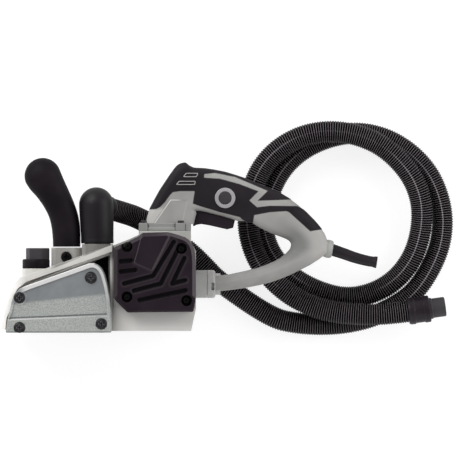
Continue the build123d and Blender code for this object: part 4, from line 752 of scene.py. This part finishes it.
# ---- front handle and dust elbow ---------------------------------------------------------------
frontHandleShape = {
    # left and right edge of each station on the drawing grid
    "left": [(53.2, 247.9), (52.9, 238), (51.8, 227), (49.3, 216.7), (44.4, 207.2), (37.4, 197.2), (30.1, 189.6),
             (25.4, 182)],
    "right": [(80.4, 247.9), (80.7, 237.2), (80.1, 224.8), (77.9, 213), (74.0, 202), (69.2, 191), (63.8, 179.3),
              (59.2, 168.1)],
    "rows": 170, "around": 72, "middle": 88.0, "depth": 17.0, "swell": 0.45,
}
elbowShape = {
    # middle x, level and radius on the drawing grid, from the foot up to the middle of the dome
    "stations": [(97.5, 243.4, 16.1), (97.4, 238, 16.25), (97.1, 228, 16.6), (96.8, 218, 16.95),
                 (96.5, 209, 17.2), (96.4, 204.5, 17.2)],
    "rows": 60, "around": 72, "level": 92.0, "lip": 0.2, "branchRadius": 15.6, "branch": 26.0,
    "branchWay": (20.8, -6.5, -25.5),
}


def makeFrontHandle():
    # section = ellipse between the left and the right line; the head is closed by a half round dome
    shape = frontHandleShape
    left, right = overlay(shape["left"]), overlay(shape["right"])
    run = np.concatenate([[0.0], np.cumsum(np.linalg.norm(np.diff(left + right, axis=0), axis=1))])
    at = np.linspace(0.0, run[-1], shape["rows"])
    left, right = (softened(np.column_stack([np.interp(at, run, side[:, k]) for k in (0, 1)]), 16)
                   for side in (left, right))
    middle, half = (left + right) / 2, (right - left) / 2
    radius = np.linalg.norm(half[-1])
    tip = np.array([-half[-1, 1], half[-1, 0]]) / radius
    if tip[1] < 0:
        tip = -tip
    turn = np.linspace(0.0, np.pi / 2, 30)[1:-1]
    middle = np.vstack([middle, middle[-1] + tip * radius * np.sin(turn)[:, None]])
    deep = shape["depth"] + (np.linalg.norm(half, axis=1) - 17.7) * shape["swell"]
    deep = np.concatenate([deep, deep[-1] * np.cos(turn)])
    half = np.vstack([half, half[-1] * np.cos(turn)[:, None]])
    angle = np.linspace(0.0, 2 * np.pi, shape["around"], endpoint=False)
    flat = middle[:, None, :] + half[:, None, :] * np.cos(angle)[None, :, None]
    level = shape["middle"] + deep[:, None] * np.sin(angle)[None]
    piece = surface("frontHandle", toFrame(np.concatenate([flat, level[..., None]], -1)), finishes["matt_black"],
                    wrapV=True, capStart=True, capEnd=True)
    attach(piece, "machine")
    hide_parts("front_handle")


def makeElbow():
    # turned body r(y) with a half round dome on it, and a short round branch towards the hose
    shape = elbowShape
    table = np.array(shape["stations"], float)
    middle, radius = overlay(table[:, :2]), table[:, 2] * 1.3
    run = np.linspace(0.0, 1.0, shape["rows"])
    known = (middle[:, 1] - middle[0, 1]) / (middle[-1, 1] - middle[0, 1])
    x, y, radius = (np.interp(run, known, values) for values in (middle[:, 0], middle[:, 1], radius))
    radius = radius + shape["lip"] * smooth(y, y[0] + 5.2, y[0] + 4.4) - 0.4 * smooth(y, y[0] + 0.5, y[0])
    turn = np.linspace(0.0, np.pi / 2, 36)[1:]
    x = np.concatenate([x, np.full(35, x[-1])])
    y = np.concatenate([y, y[-1] + radius[-1] * np.sin(turn)])
    radius = np.concatenate([radius, radius[-1] * np.cos(turn) + 1e-4])
    angle = np.linspace(0.0, 2 * np.pi, shape["around"], endpoint=False)
    points = np.stack([x[:, None] + radius[:, None] * np.cos(angle), np.broadcast_to(y[:, None], (len(y), len(angle))),
                       shape["level"] + radius[:, None] * np.sin(angle)], -1)
    body = surface("dustElbow", toFrame(points), finishes["elbow_black"], wrapV=True, capStart=True, capEnd=True)
    reach = shape["branch"]
    branch = turned("elbowBranch", [(shape["branchRadius"], 6.0), (shape["branchRadius"], reach - 1.4),
                                    (shape["branchRadius"] - 0.4, reach - 0.4), (shape["branchRadius"] - 1.6, reach),
                                    (12.0, reach)], (middle[-1, 0], middle[-1, 1], shape["level"]),
                    shape["branchWay"], finishes["elbow_black"], around=72)
    for piece in (body, branch):
        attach(piece, "machine")
    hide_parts("dust_elbow")


makeFrontHandle()
makeElbow()
print("front handle and elbow ready")


# ---- side covers -------------------------------------------------------------------------------
motorCoverShape = {
    "columns": 520, "rows": 150, "base": 126.03, "top": 148.0, "centre": (155.0, 272.0),
    "outline": [
        (114.4, 247.4), (121.0, 244.6), (130.9, 240.4), (138.8, 236.5), (142.6, 233), (168, 232), (173, 233.2),
        (179, 235), (185, 237), (189, 239.5), (192.6, 244), (194.5, 249), (195.6, 256), (196, 265),
        (196, 298), (193.4, 311.3), (128, 312), (114.2, 298)],
    "panel": [(142.5, 231), (168, 231), (171, 237), (152, 275), (134, 267), (134, 264), (138.4, 248)],
    "panelLeft": [(142.5, 231), (138.4, 248), (134, 264)], "panelRight": [(168, 231), (171, 237), (152, 275)],
    "panelLow": [(152, 275), (134, 267)],
    "grooves": [
        [(174.0, 242), (153.6, 275.6), (124.6, 283.4)], [(177.6, 250.6), (161.2, 283.4), (134.4, 290.4)],
        [(184.6, 258), (172.6, 283.4), (185.4, 280)], [(140.0, 299.8), (185.6, 290.2)],
        [(121.4, 261.4), (131.6, 260.4)], [(121.4, 271.6), (135.6, 269.8)]],
    "holes": [(127.5, 246.7), (181.8, 248.3), (127.5, 296.6), (186.9, 300.3)],
}
chamberCoverShape = {
    "columns": 520, "rows": 150, "base": 126.03, "top": 138.0, "centre": (80.0, 34.0),
    "outline": [
        (6.0, 0.4), (8.4, 17), (11.2, 29), (14.4, 42.4), (17.8, 50.4), (24, 57.5), (36.4, 62.6), (115, 90.5),
        (121, 90.3), (126.4, 88), (131.2, 83.4), (134.6, 76.4), (137, 68.6), (139.2, 60), (142.2, 44), (143, 29),
        (143, 0.6)],
    "topLine": [(21, 53.5), (24, 57.5), (36.4, 62.6), (115, 90.5), (121, 90.3), (125, 88.7)],
    "rightLine": [(123, 89.8), (126.4, 88), (131.2, 83.4), (134.6, 76.4), (137, 68.6), (139.2, 60), (142.2, 44),
                  (143, 29), (143, -2)],
    "leftLine": [(22, 55), (16.9, 47.5), (11.7, 27), (8, 19)],
    "screws": [(24, 45.5), (24, 6.8), (116.4, 71.5), (130, 11.7)],
}


def fieldOver(shape, outline, centre, height, name, finish, marker):
    # height(x, y) over a star of rays from the centre to the outline, with a wall down to the base
    loop = roundLoop(outline, shape["columns"], 3)
    share = np.concatenate([1.0 - np.linspace(0.0, 0.12, 34), np.linspace(0.88, 0.004, shape["rows"] - 34)[1:]])
    x = centre[0] + share[:, None] * (loop[None, :, 0] - centre[0])
    y = centre[1] + share[:, None] * (loop[None, :, 1] - centre[1])
    z = height(x, y)
    wall = np.linspace(0.0, 1.0, 7)[:-1, None]
    wallZ = shape["base"] + wall * (z[:1] - shape["base"])
    x, y = (np.vstack([np.repeat(values[:1], 6, 0), values]) for values in (x, y))
    z = np.vstack([wallZ, z])
    piece = surface(name, toFrame(np.stack([x, y, z], -1)), finish, wrapV=True, capStart=True, capEnd=True,
                    marks={"coverMark": marker(x, y)})
    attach(piece, "machine")
    return piece


def motorCoverFinish():
    # fine textured black moulding: a painted highlight on the bevel, the panel slopes and the ridges, painted shade in
    # the grooves and in the screw holes
    look = {"dark": linear(29, 22, 28), "light": linear(36, 28, 35), "rim": linear(76, 70, 74),
            "groove": linear(4, 2, 4), "ridgeHighlight": linear(78, 72, 77), "edge": linear(100, 95, 99)}
    material, tree, shader = startFinish("motorCover", Specular_IOR_Level=0.1)
    mark = addNode(tree, "Attribute", attribute_name="coverMark")
    split = addNode(tree, "SeparateXYZ")
    tree.links.new(mark.outputs["Vector"], split.inputs[0])
    where = objectPlace(tree)
    cloud = ranged(tree, noise(tree, where, 28.0, 2.0), 0.35, 0.65)
    base = mixColour(tree, cloud, look["dark"], look["light"])
    base = mixColour(tree, ranged(tree, split.outputs[2], 0.0, 1.0, 0.0, 0.75), base, look["ridgeHighlight"])
    base = mixColour(tree, ranged(tree, split.outputs[0], 0.0, 1.0, 0.0, 0.9), base, look["rim"])
    base = mixColour(tree, ranged(tree, split.outputs[1], 0.0, 1.0, 0.0, 0.95), base, look["groove"])
    edge, rounded = edgeShare(tree, 0.0008)
    base = mixColour(tree, mathNode(tree, "MULTIPLY", edge, 0.3), base, look["edge"])
    tree.links.new(base, shader.inputs["Base Color"])
    grain = noise(tree, where, 2400.0, 4.0, 0.6)
    tree.links.new(ranged(tree, grain, 0.3, 0.7, 0.36, 0.5), shader.inputs["Roughness"])
    bumped(tree, shader, grain, 0.22, 0.00012, rounded)
    return material


def makeMotorCover():
    # height = top - bevel - grooves - holes + raised middle panel
    shape = motorCoverShape
    outline, panel = overlay(shape["outline"]), overlay(shape["panel"])
    grooves = [overlay(path) for path in shape["grooves"]]
    holes = overlay(shape["holes"])

    def parts(x, y):
        inside = sideDistance(x, y, outline)
        bevel = 4.6 - 3.2 * smooth(y, 50.0, 43.0)
        rim = np.clip(1.0 - inside / bevel, 0.0, 1.0)
        groove = np.max([1.0 - smooth(lineDistance(x, y, path), 2.3, 3.7) for path in grooves], 0)
        hole = np.max([1.0 - smooth(np.hypot(x - hx, y - hy), 6.6, 7.4) for hx, hy in holes], 0)
        raised = (sideDistance(x, y, panel) > 0) * np.min([
            smooth(lineDistance(x, y, overlay(shape["panelLeft"])), 0.0, 1.0),
            smooth(lineDistance(x, y, overlay(shape["panelRight"])), 0.0, 3.6),
            smooth(lineDistance(x, y, overlay(shape["panelLow"])), 0.0, 7.0)], 0)
        return inside, bevel, rim, groove, hole, raised

    def height(x, y):
        inside, bevel, rim, groove, hole, raised = parts(x, y)
        z = shape["top"] - 1.0 - 3.0 * rim * (bevel / 4.6) - 0.7 * smooth(inside, bevel, bevel + 1.0)
        z = z + 1.5 * raised * smooth(inside, 3.6, 5.6)
        return np.minimum(z, shape["top"]) - 2.8 * groove * (1 - rim) - 7.0 * hole

    def marker(x, y):
        inside, bevel, rim, groove, hole, raised = parts(x, y)
        # painted highlight on the bevel band, stronger towards the right
        bevelHighlight = smooth(inside, bevel + 0.2, bevel - 0.5) * smooth(bevel, 1.4, 4.4) * (0.35 + 0.65 * smooth(x, 190.0, 230.0))
        # painted highlight on the raised panel's slopes
        slopeHighlight = (raised > 0.02) * (raised < 0.98) * smooth(lineDistance(x, y, overlay(shape["panelLow"])), 2.0, 9.0)
        # painted highlight beside the first three grooves
        ridgeHighlight = np.max([smooth(lineDistance(x, y, path), 7.0, 3.4) for path in grooves[:3]], 0) * 0.22
        slopeHighlight = slopeHighlight * (0.75 + 0.5 * smooth(lineDistance(x, y, overlay(shape["panelLeft"])), 2.0, 1.0))
        return np.stack([bevelHighlight, np.maximum(groove, hole), np.maximum(slopeHighlight, ridgeHighlight)], -1)

    cover = fieldOver(shape, outline, overlay([shape["centre"]])[0], height, "motorCover",
                      motorCoverFinish(), marker)
    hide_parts("motor_cover")


def chamberCoverFinish():
    # grainy casting, smoother and bluer above the bend; a bright rim painted as a highlight, strongest along the top, a
    # painted highlight on the step edge and painted shade in the groove, the screw seats and along the bottom edge
    look = {"high": linear(128, 131, 133), "highDark": linear(116, 119, 121), "low": linear(174, 177, 174),
            "lowDark": linear(142, 145, 143), "rim": linear(206, 205, 204), "groove": linear(84, 88, 90)}
    material, tree, shader = startFinish("chamberCover", Metallic=0.25, Specular_IOR_Level=0.4)
    mark = addNode(tree, "Attribute", attribute_name="coverMark")
    split = addNode(tree, "SeparateXYZ")
    tree.links.new(mark.outputs["Vector"], split.inputs[0])
    where = objectPlace(tree)
    cloud = ranged(tree, noise(tree, where, 40.0, 3.0), 0.3, 0.7)
    grain = noise(tree, where, 1100.0, 4.0, 0.7)
    speck = ranged(tree, noise(tree, where, 620.0, 2.0, 0.7), 0.38, 0.62)
    high = mixColour(tree, cloud, look["highDark"], look["high"])
    low = mixColour(tree, speck, look["lowDark"], look["low"])
    base = mixColour(tree, split.outputs[1], low, high)
    base = mixColour(tree, split.outputs[0], base, look["rim"])
    base = mixColour(tree, ranged(tree, split.outputs[2], 0.0, 1.0, 0.0, 0.9), base, look["rim"])
    base = mixColour(tree, ranged(tree, split.outputs[2], 0.0, -1.0, 0.0, 0.9), base, look["groove"])
    edge, rounded = edgeShare(tree, 0.0007)
    base = mixColour(tree, mathNode(tree, "MULTIPLY", edge, 0.4), base, look["rim"])
    tree.links.new(base, shader.inputs["Base Color"])
    tree.links.new(ranged(tree, grain, 0.3, 0.7, 0.42, 0.58), shader.inputs["Roughness"])
    coarse = mathNode(tree, "MULTIPLY", grain, ranged(tree, split.outputs[1], 0.0, 1.0, 1.0, 0.35))
    bumped(tree, shader, coarse, 0.5, 0.0003, rounded)
    return material


def makeChamberCover():
    # height = top - sunk face inside the rim - edge bevels - screw seats, with a step above the lower flange
    shape = chamberCoverShape

    def parts(x, y):
        top, right, left = (lineDistance(x, y, shape[key]) for key in ("topLine", "rightLine", "leftLine"))
        rim = np.maximum(smooth(top, 6.2, 5.6), np.maximum(smooth(right, 6.0, 5.4), smooth(left, 2.5, 2.0)))
        step = y - (17.5 + (x - 8.0) * 0.041)
        bend = (y - (37.0 + (x - 15.6) * 0.107)) * 0.994
        seat = np.max([1.0 - smooth(np.hypot(x - sx, y - sy), 6.9, 7.5) for sx, sy in shape["screws"]], 0)
        boss = np.max([1.0 - smooth(np.hypot(x - sx, y - sy), 8.6, 9.6) for sx, sy in shape["screws"][:1]], 0)
        return rim, right, step, bend, seat, boss

    def height(x, y):
        rim, right, step, bend, seat, boss = parts(x, y)
        inside = sideDistance(x, y, shape["outline"])
        flange = smooth(step, 0.4, -0.6)
        raised = np.max([rim, 0.7 * flange, boss], 0)
        z = shape["top"] - 1.7 * (1.0 - raised) - 0.9 * smooth(bend, 1.5, -14.0) * (1 - rim) * (1 - flange)
        z -= 0.8 * (1.0 - smooth(np.abs(step - 1.5), 0.4, 1.4)) * (1 - rim)
        z -= 2.0 * np.clip(1.0 - right / 1.8, 0.0, 1.0) + 0.7 * (1.0 - smooth(inside, 0.0, 1.0))
        return z - 2.4 * seat

    def marker(x, y):
        rim, right, step, bend, seat, boss = parts(x, y)
        # painted highlight on the step above the flange, fading to the right
        edge = smooth(np.abs(step + 0.6), 1.1, 0.4) * smooth(x, 135.0, 60.0) * 0.7
        # painted shade in the groove and in the screw seats
        line = edge - (1.0 - smooth(np.abs(step - 1.5), 0.5, 1.3)) * 0.8 * (1 - rim) - seat * (1 - rim)
        # painted highlight on the rim, strongest along the top
        rimHighlight = rim * smooth(right, 1.5, 2.5) + 0.2 * rim * smooth(right, 2.5, 1.5)
        rimHighlight = rimHighlight * np.maximum(smooth(lineDistance(x, y, shape["topLine"]), 6.2, 5.6) * smooth(x, 20.0, 34.0),
                                     0.1 + 0.75 * smooth(y, 30.0, 66.0) * (x > 60.0))
        # painted shade along the bottom edge
        line = line - 0.8 * smooth(y, 2.4, 1.4)
        return np.stack([rimHighlight, smooth(bend, -2.0, 3.0), line], -1)

    cover = fieldOver(shape, shape["outline"], shape["centre"], height, "chamberCover", chamberCoverFinish(),
                      marker)
    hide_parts("chamber_cover")


def makeLipUnderside():
    # sloping lower face of the roof's lip, as deep as the space above the cover, in a darker grey that stands in for
    # its shade
    x = np.linspace(37.0, 141.2, 90)
    section = np.array([(0.01, 134.9), (-0.78, 132.6), (-0.94, 131.6), (-1.0, 130.0), (-0.98, 127.2),
                        (-0.84, 126.6), (0.0, 126.6), (0.2, 130.0)])
    edge = 0.4004 * x + 49.44
    deep = np.minimum(5.0, edge - 63.0 - (x - 36.4) * 0.355)
    y = edge[:, None] + section[None, :, 0] * deep[:, None]
    points = np.stack([np.repeat(x[:, None], len(section), 1), y, np.repeat(section[None, :, 1], len(x), 0)], -1)
    lip = surface("lipUnderside", toFrame(points), finishes["lip_shade_grey"], wrapV=True, capStart=True, capEnd=True)
    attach(lip, "machine")


def makeKnob():
    # six-sided grip with rounded corners, standing a little off the axis, on a shallow fluted collar
    shape = {"axis": (44.5, 88.0), "grip": (46.6, 88.0), "size": 15.9, "turn": 10.0, "low": 92.6, "high": 109.8}
    six = np.radians(shape["turn"] + 60.0 * np.arange(6))
    loop = roundLoop(shape["size"] * np.column_stack([np.cos(six), np.sin(six)]), 180, 4)
    level = np.array([shape["low"], *np.linspace(shape["low"] + 0.5, shape["high"] - 1.4, 12),
                      *(shape["high"] - 1.4 + 1.4 * np.sin(np.linspace(0.2, np.pi / 2, 6)))])
    size = np.concatenate([np.full(13, 1.0), 1.0 - 0.09 * (1 - np.cos(np.linspace(0.2, np.pi / 2, 6)))])
    flat = size[:, None, None] * loop[None]
    grip = surface("knobGrip", toFrame(np.stack([
        shape["grip"][0] + flat[..., 0], np.repeat(level[:, None], 180, 1), shape["grip"][1] + flat[..., 1]], -1)),
        finishes["button_black"], wrapV=True, capStart=True, capEnd=True)
    angle = np.linspace(0.0, 2 * np.pi, 180, endpoint=False)
    rise = np.array([83.26, 83.5, 84.2, 93.4, 94.6, 95.4, 95.6])
    inward = np.array([0.7, 0.2, 0.0, 0.0, 0.4, 1.4, 3.0])
    radius = 17.75 - inward[:, None] - 0.25 * (0.5 + 0.5 * np.cos(36 * angle))[None] * (inward < 0.3)[:, None]
    collar = surface("knobCollar", toFrame(np.stack([
        shape["axis"][0] + radius * np.cos(angle), np.repeat(rise[:, None], 180, 1),
        shape["axis"][1] + radius * np.sin(angle)], -1)), finishes["knob_black"], wrapV=True, capStart=True,
        capEnd=True)
    for piece in (grip, collar):
        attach(piece, "knob")
    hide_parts("depth_knob")


makeMotorCover()
makeChamberCover()
makeLipUnderside()
makeKnob()
print("covers ready")


# ---- cord guard --------------------------------------------------------------------------------
guardShape = {
    "line": [(329, 248.8), (338, 251.7), (345, 254.1), (352, 256.7), (360, 259.1), (368, 261.0), (377.2, 262.4)],
    "level": 88.0, "root": 7.9, "tip": 6.7, "lip": 7.5, "bore": 4.5, "around": 56,
}


def makeCordGuard():
    # smooth rubber sleeve: the radius falls from the root to the tip, opens to a lip and turns back inside
    shape = guardShape
    line = softened(resample(overlay(shape["line"]), 90), 6)
    ahead = np.gradient(line, axis=0)
    ahead /= np.linalg.norm(ahead, axis=1)[:, None]
    share = np.linspace(0.0, 1.0, len(line))
    radius = shape["root"] + (shape["tip"] - shape["root"]) * share ** 0.8
    radius = radius + (shape["lip"] - shape["tip"]) * smooth(share, 0.9, 0.965)
    back = slice(-1, -24, -1)
    radius = np.concatenate([radius, [shape["lip"] - 0.4, shape["bore"] + 0.6], np.full(23, shape["bore"])])
    line = np.vstack([line, line[-1:] + ahead[-1:] * 0.35, line[-1:] + ahead[-1:] * 0.35, line[back]])
    ahead = np.vstack([ahead, ahead[-1:], ahead[-1:], ahead[back]])
    angle = np.linspace(0.0, 2 * np.pi, shape["around"], endpoint=False)
    side = np.column_stack([-ahead[:, 1], ahead[:, 0]])
    flat = line[:, None, :] + radius[:, None, None] * np.cos(angle)[None, :, None] * side[:, None, :]
    level = shape["level"] + radius[:, None] * np.sin(angle)[None]
    guard = surface("cordGuard", toFrame(np.concatenate([flat, level[..., None]], -1)), finishes["belt_rubber"],
                    wrapV=True, capStart=True, capEnd=True)
    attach(guard, "machine")
    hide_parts("cord_guard")


makeCordGuard()
print("guard ready")


# ---- dust hose ---------------------------------------------------------------------------------
dustHose = {
    "radius": 14.4, "valley": 13.1, "pitch": 3.0, "around": 20, "cornerSteps": 24,
    "ribAt": (0.0, 0.36, 0.5, 0.86), "ribHeight": (0.0, 1.0, 1.0, 0.0), "highlightTurn": 0.12,
    # how clearly the pale painted highlight line shows, by share of the length
    "highlightShow": [(0.0, 0.0), (0.225, 0.0), (0.25, 1.0), (0.33, 1.0), (0.365, 0.1), (0.43, 0.1), (0.455, 0.8),
                 (0.53, 0.7), (0.555, 0.0), (0.6, 0.0), (0.625, 0.9), (0.695, 0.9), (0.72, 0.1), (0.78, 0.1),
                 (0.805, 0.8), (0.885, 0.7), (0.91, 0.0), (1.0, 0.0)],
    "route": [
        (-0.1052, 0.0473, 0.0737), (-0.0944, 0.044, 0.062), (-0.0664, 0.0353, 0.042),
        (-0.0304, 0.013, 0.019), (0.0006, -0.0105, 0.0145), (0.0206, -0.0305, 0.0145),
        (0.0366, -0.0478, 0.0145), (0.1054, -0.0954, 0.0145), (0.1386, -0.1028, 0.0145),
        (0.1736, -0.1048, 0.0145), (0.2066, -0.1022, 0.0145), (0.2381, -0.0944, 0.0145),
        (0.268, -0.0804, 0.0145), (0.2926, -0.063, 0.0145), (0.3121, -0.0352, 0.0145),
        (0.3268, -0.0018, 0.0145), (0.3307, 0.0338, 0.0145), (0.3238, 0.0678, 0.0145),
        (0.3093, 0.097, 0.0145), (0.2857, 0.1215, 0.0145), (0.2561, 0.1392, 0.0145),
        (0.221, 0.1472, 0.0145), (0.1867, 0.1425, 0.0145), (0.156, 0.1304, 0.0145),
        (0.1321, 0.1132, 0.0145), (0.115, 0.0925, 0.0145), (0.1028, 0.0664, 0.0145),
        (0.0943, 0.0375, 0.0145), (0.0964, 0.0089, 0.0145), (0.1096, -0.0195, 0.0145),
        (0.1354, -0.0446, 0.0145), (0.167, -0.0612, 0.0145), (0.2041, -0.0708, 0.0145),
        (0.2406, -0.0634, 0.015), (0.27, -0.0453, 0.02), (0.2915, -0.0165, 0.027),
        (0.3018, 0.018, 0.031), (0.303, 0.0522, 0.036), (0.2921, 0.0853, 0.04), (0.271, 0.1122, 0.043),
        (0.2451, 0.1327, 0.0432), (0.2127, 0.145, 0.0432), (0.1803, 0.1486, 0.0432),
        (0.1473, 0.1431, 0.043), (0.1176, 0.1274, 0.04), (0.0951, 0.1047, 0.037), (0.081, 0.075, 0.0365),
        (0.0748, 0.0427, 0.0365), (0.0768, 0.0095, 0.0365), (0.0891, -0.0235, 0.0365),
        (0.1111, -0.0505, 0.0365), (0.1401, -0.0724, 0.037), (0.1801, -0.0874, 0.0395),
        (0.2236, -0.0912, 0.0432), (0.2586, -0.0906, 0.044), (0.2842, -0.0871, 0.0432)],
}


def hoseFinish():
    # glossy black ribs with painted highlights: pale rib crests, and a pale line that wanders slowly round the hose
    look = {"dark": linear(1, 0, 1), "light": linear(3, 2, 3), "crestHighlight": linear(120, 114, 118),
            "seam": linear(156, 150, 155), "rough": 0.5}
    material, tree, shader = startFinish("ribbedHose", Specular_IOR_Level=0.04)
    mark = addNode(tree, "Attribute", attribute_name="hoseMark")
    split = addNode(tree, "SeparateXYZ")
    tree.links.new(mark.outputs["Vector"], split.inputs[0])
    near = ranged(tree, mathNode(tree, "ABSOLUTE", split.outputs[1]), 0.07, 0.04)
    seam = mathNode(tree, "MULTIPLY", split.outputs[0], near)
    where = objectPlace(tree)
    cloud = ranged(tree, noise(tree, where, 45.0, 3.0), 0.35, 0.65)
    base = mixColour(tree, cloud, look["dark"], look["light"])
    # painted highlight on the rib crests
    base = mixColour(tree, ranged(tree, split.outputs[2], 0.95, 1.0, 0.0, 0.9), base, look["crestHighlight"])
    # painted highlight line along the hose
    seam = mathNode(tree, "MULTIPLY", seam, ranged(tree, split.outputs[2], 0.0, 1.0, 0.35, 0.85))
    base = mixColour(tree, seam, base, look["seam"])
    tree.links.new(base, shader.inputs["Base Color"])
    grain = noise(tree, where, 1400.0, 3.0)
    tree.links.new(ranged(tree, grain, 0.3, 0.7, look["rough"] - 0.06, look["rough"] + 0.08),
                   shader.inputs["Roughness"])
    bumped(tree, shader, grain, 0.15, 0.0001)
    return material


def routeLine(route, steps):
    # the smooth line of the route: a NURBS spline of order 3 through the ends
    curve = bpy.data.curves.new("hoseRoute", "CURVE")
    curve.dimensions = "3D"
    spline = curve.splines.new("NURBS")
    spline.points.add(len(route) - 1)
    spline.points.foreach_set("co", np.column_stack([route, np.ones(len(route))]).ravel())
    spline.order_u = 3
    spline.use_endpoint_u = True
    spline.resolution_u = steps
    holder = bpy.data.objects.new("hoseRoute", curve)
    mesh = bpy.data.meshes.new_from_object(holder)
    line = np.empty(len(mesh.vertices) * 3)
    mesh.vertices.foreach_get("co", line)
    bpy.data.meshes.remove(mesh)
    bpy.data.objects.remove(holder)
    bpy.data.curves.remove(curve)
    return line.reshape(-1, 3)


def makeHose():
    # radius = valley + rib(s / pitch), carried round the line in planes square to it
    line = routeLine(dustHose["route"], dustHose["cornerSteps"])
    length = float(np.linalg.norm(np.diff(line, axis=0), axis=1).sum())
    ribs = int(length * 1000 / dustHose["pitch"])
    phase = (np.arange(ribs)[:, None] + np.array(dustHose["ribAt"])).ravel() / ribs
    height = np.tile(dustHose["ribHeight"], ribs)
    fine = resample(line, 6000)
    at = np.linspace(0.0, 1.0, len(fine))
    centre = np.column_stack([np.interp(phase, at, fine[:, k]) for k in range(3)])
    ahead = np.gradient(softened(fine, 25), axis=0)
    tangent = np.column_stack([np.interp(phase, at, ahead[:, k]) for k in range(3)])
    tangent /= np.linalg.norm(tangent, axis=1)[:, None]
    side = np.cross([0.0, 0.0, 1.0], tangent)
    side /= np.linalg.norm(side, axis=1)[:, None]
    up = np.cross(tangent, side)
    radius = (dustHose["valley"] + (dustHose["radius"] - dustHose["valley"]) * height) / 1000.0
    angle = np.linspace(0.0, 2 * np.pi, dustHose["around"], endpoint=False) - np.pi / 2 + 0.07
    spoke = (np.cos(angle)[None, :, None] * side[:, None, :] + np.sin(angle)[None, :, None] * up[:, None, :])
    points = centre[:, None, :] + radius[:, None, None] * spoke
    turn = angle[None, :] - (np.pi / 2 + dustHose["highlightTurn"] * np.sin(phase * 9.0)[:, None])
    show = np.interp(phase, *np.array(dustHose["highlightShow"]).T)
    marks = np.stack([(np.cos(turn) > 0) * show[:, None], np.sin(turn),
                      np.broadcast_to(height[:, None], turn.shape)], -1)
    hose = surface("dustHose", points, hoseFinish(), wrapV=True, capStart=True, capEnd=True,
                   marks={"hoseMark": marks})
    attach(hose, "machine")
    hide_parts("hose_run", "hose_coil")
    [tuple(p) for p in resample(line, 800).tolist()]
    print("hose", round(length, 3), "m,", ribs, "ribs,", len(hose.data.polygons), "faces")


makeHose()
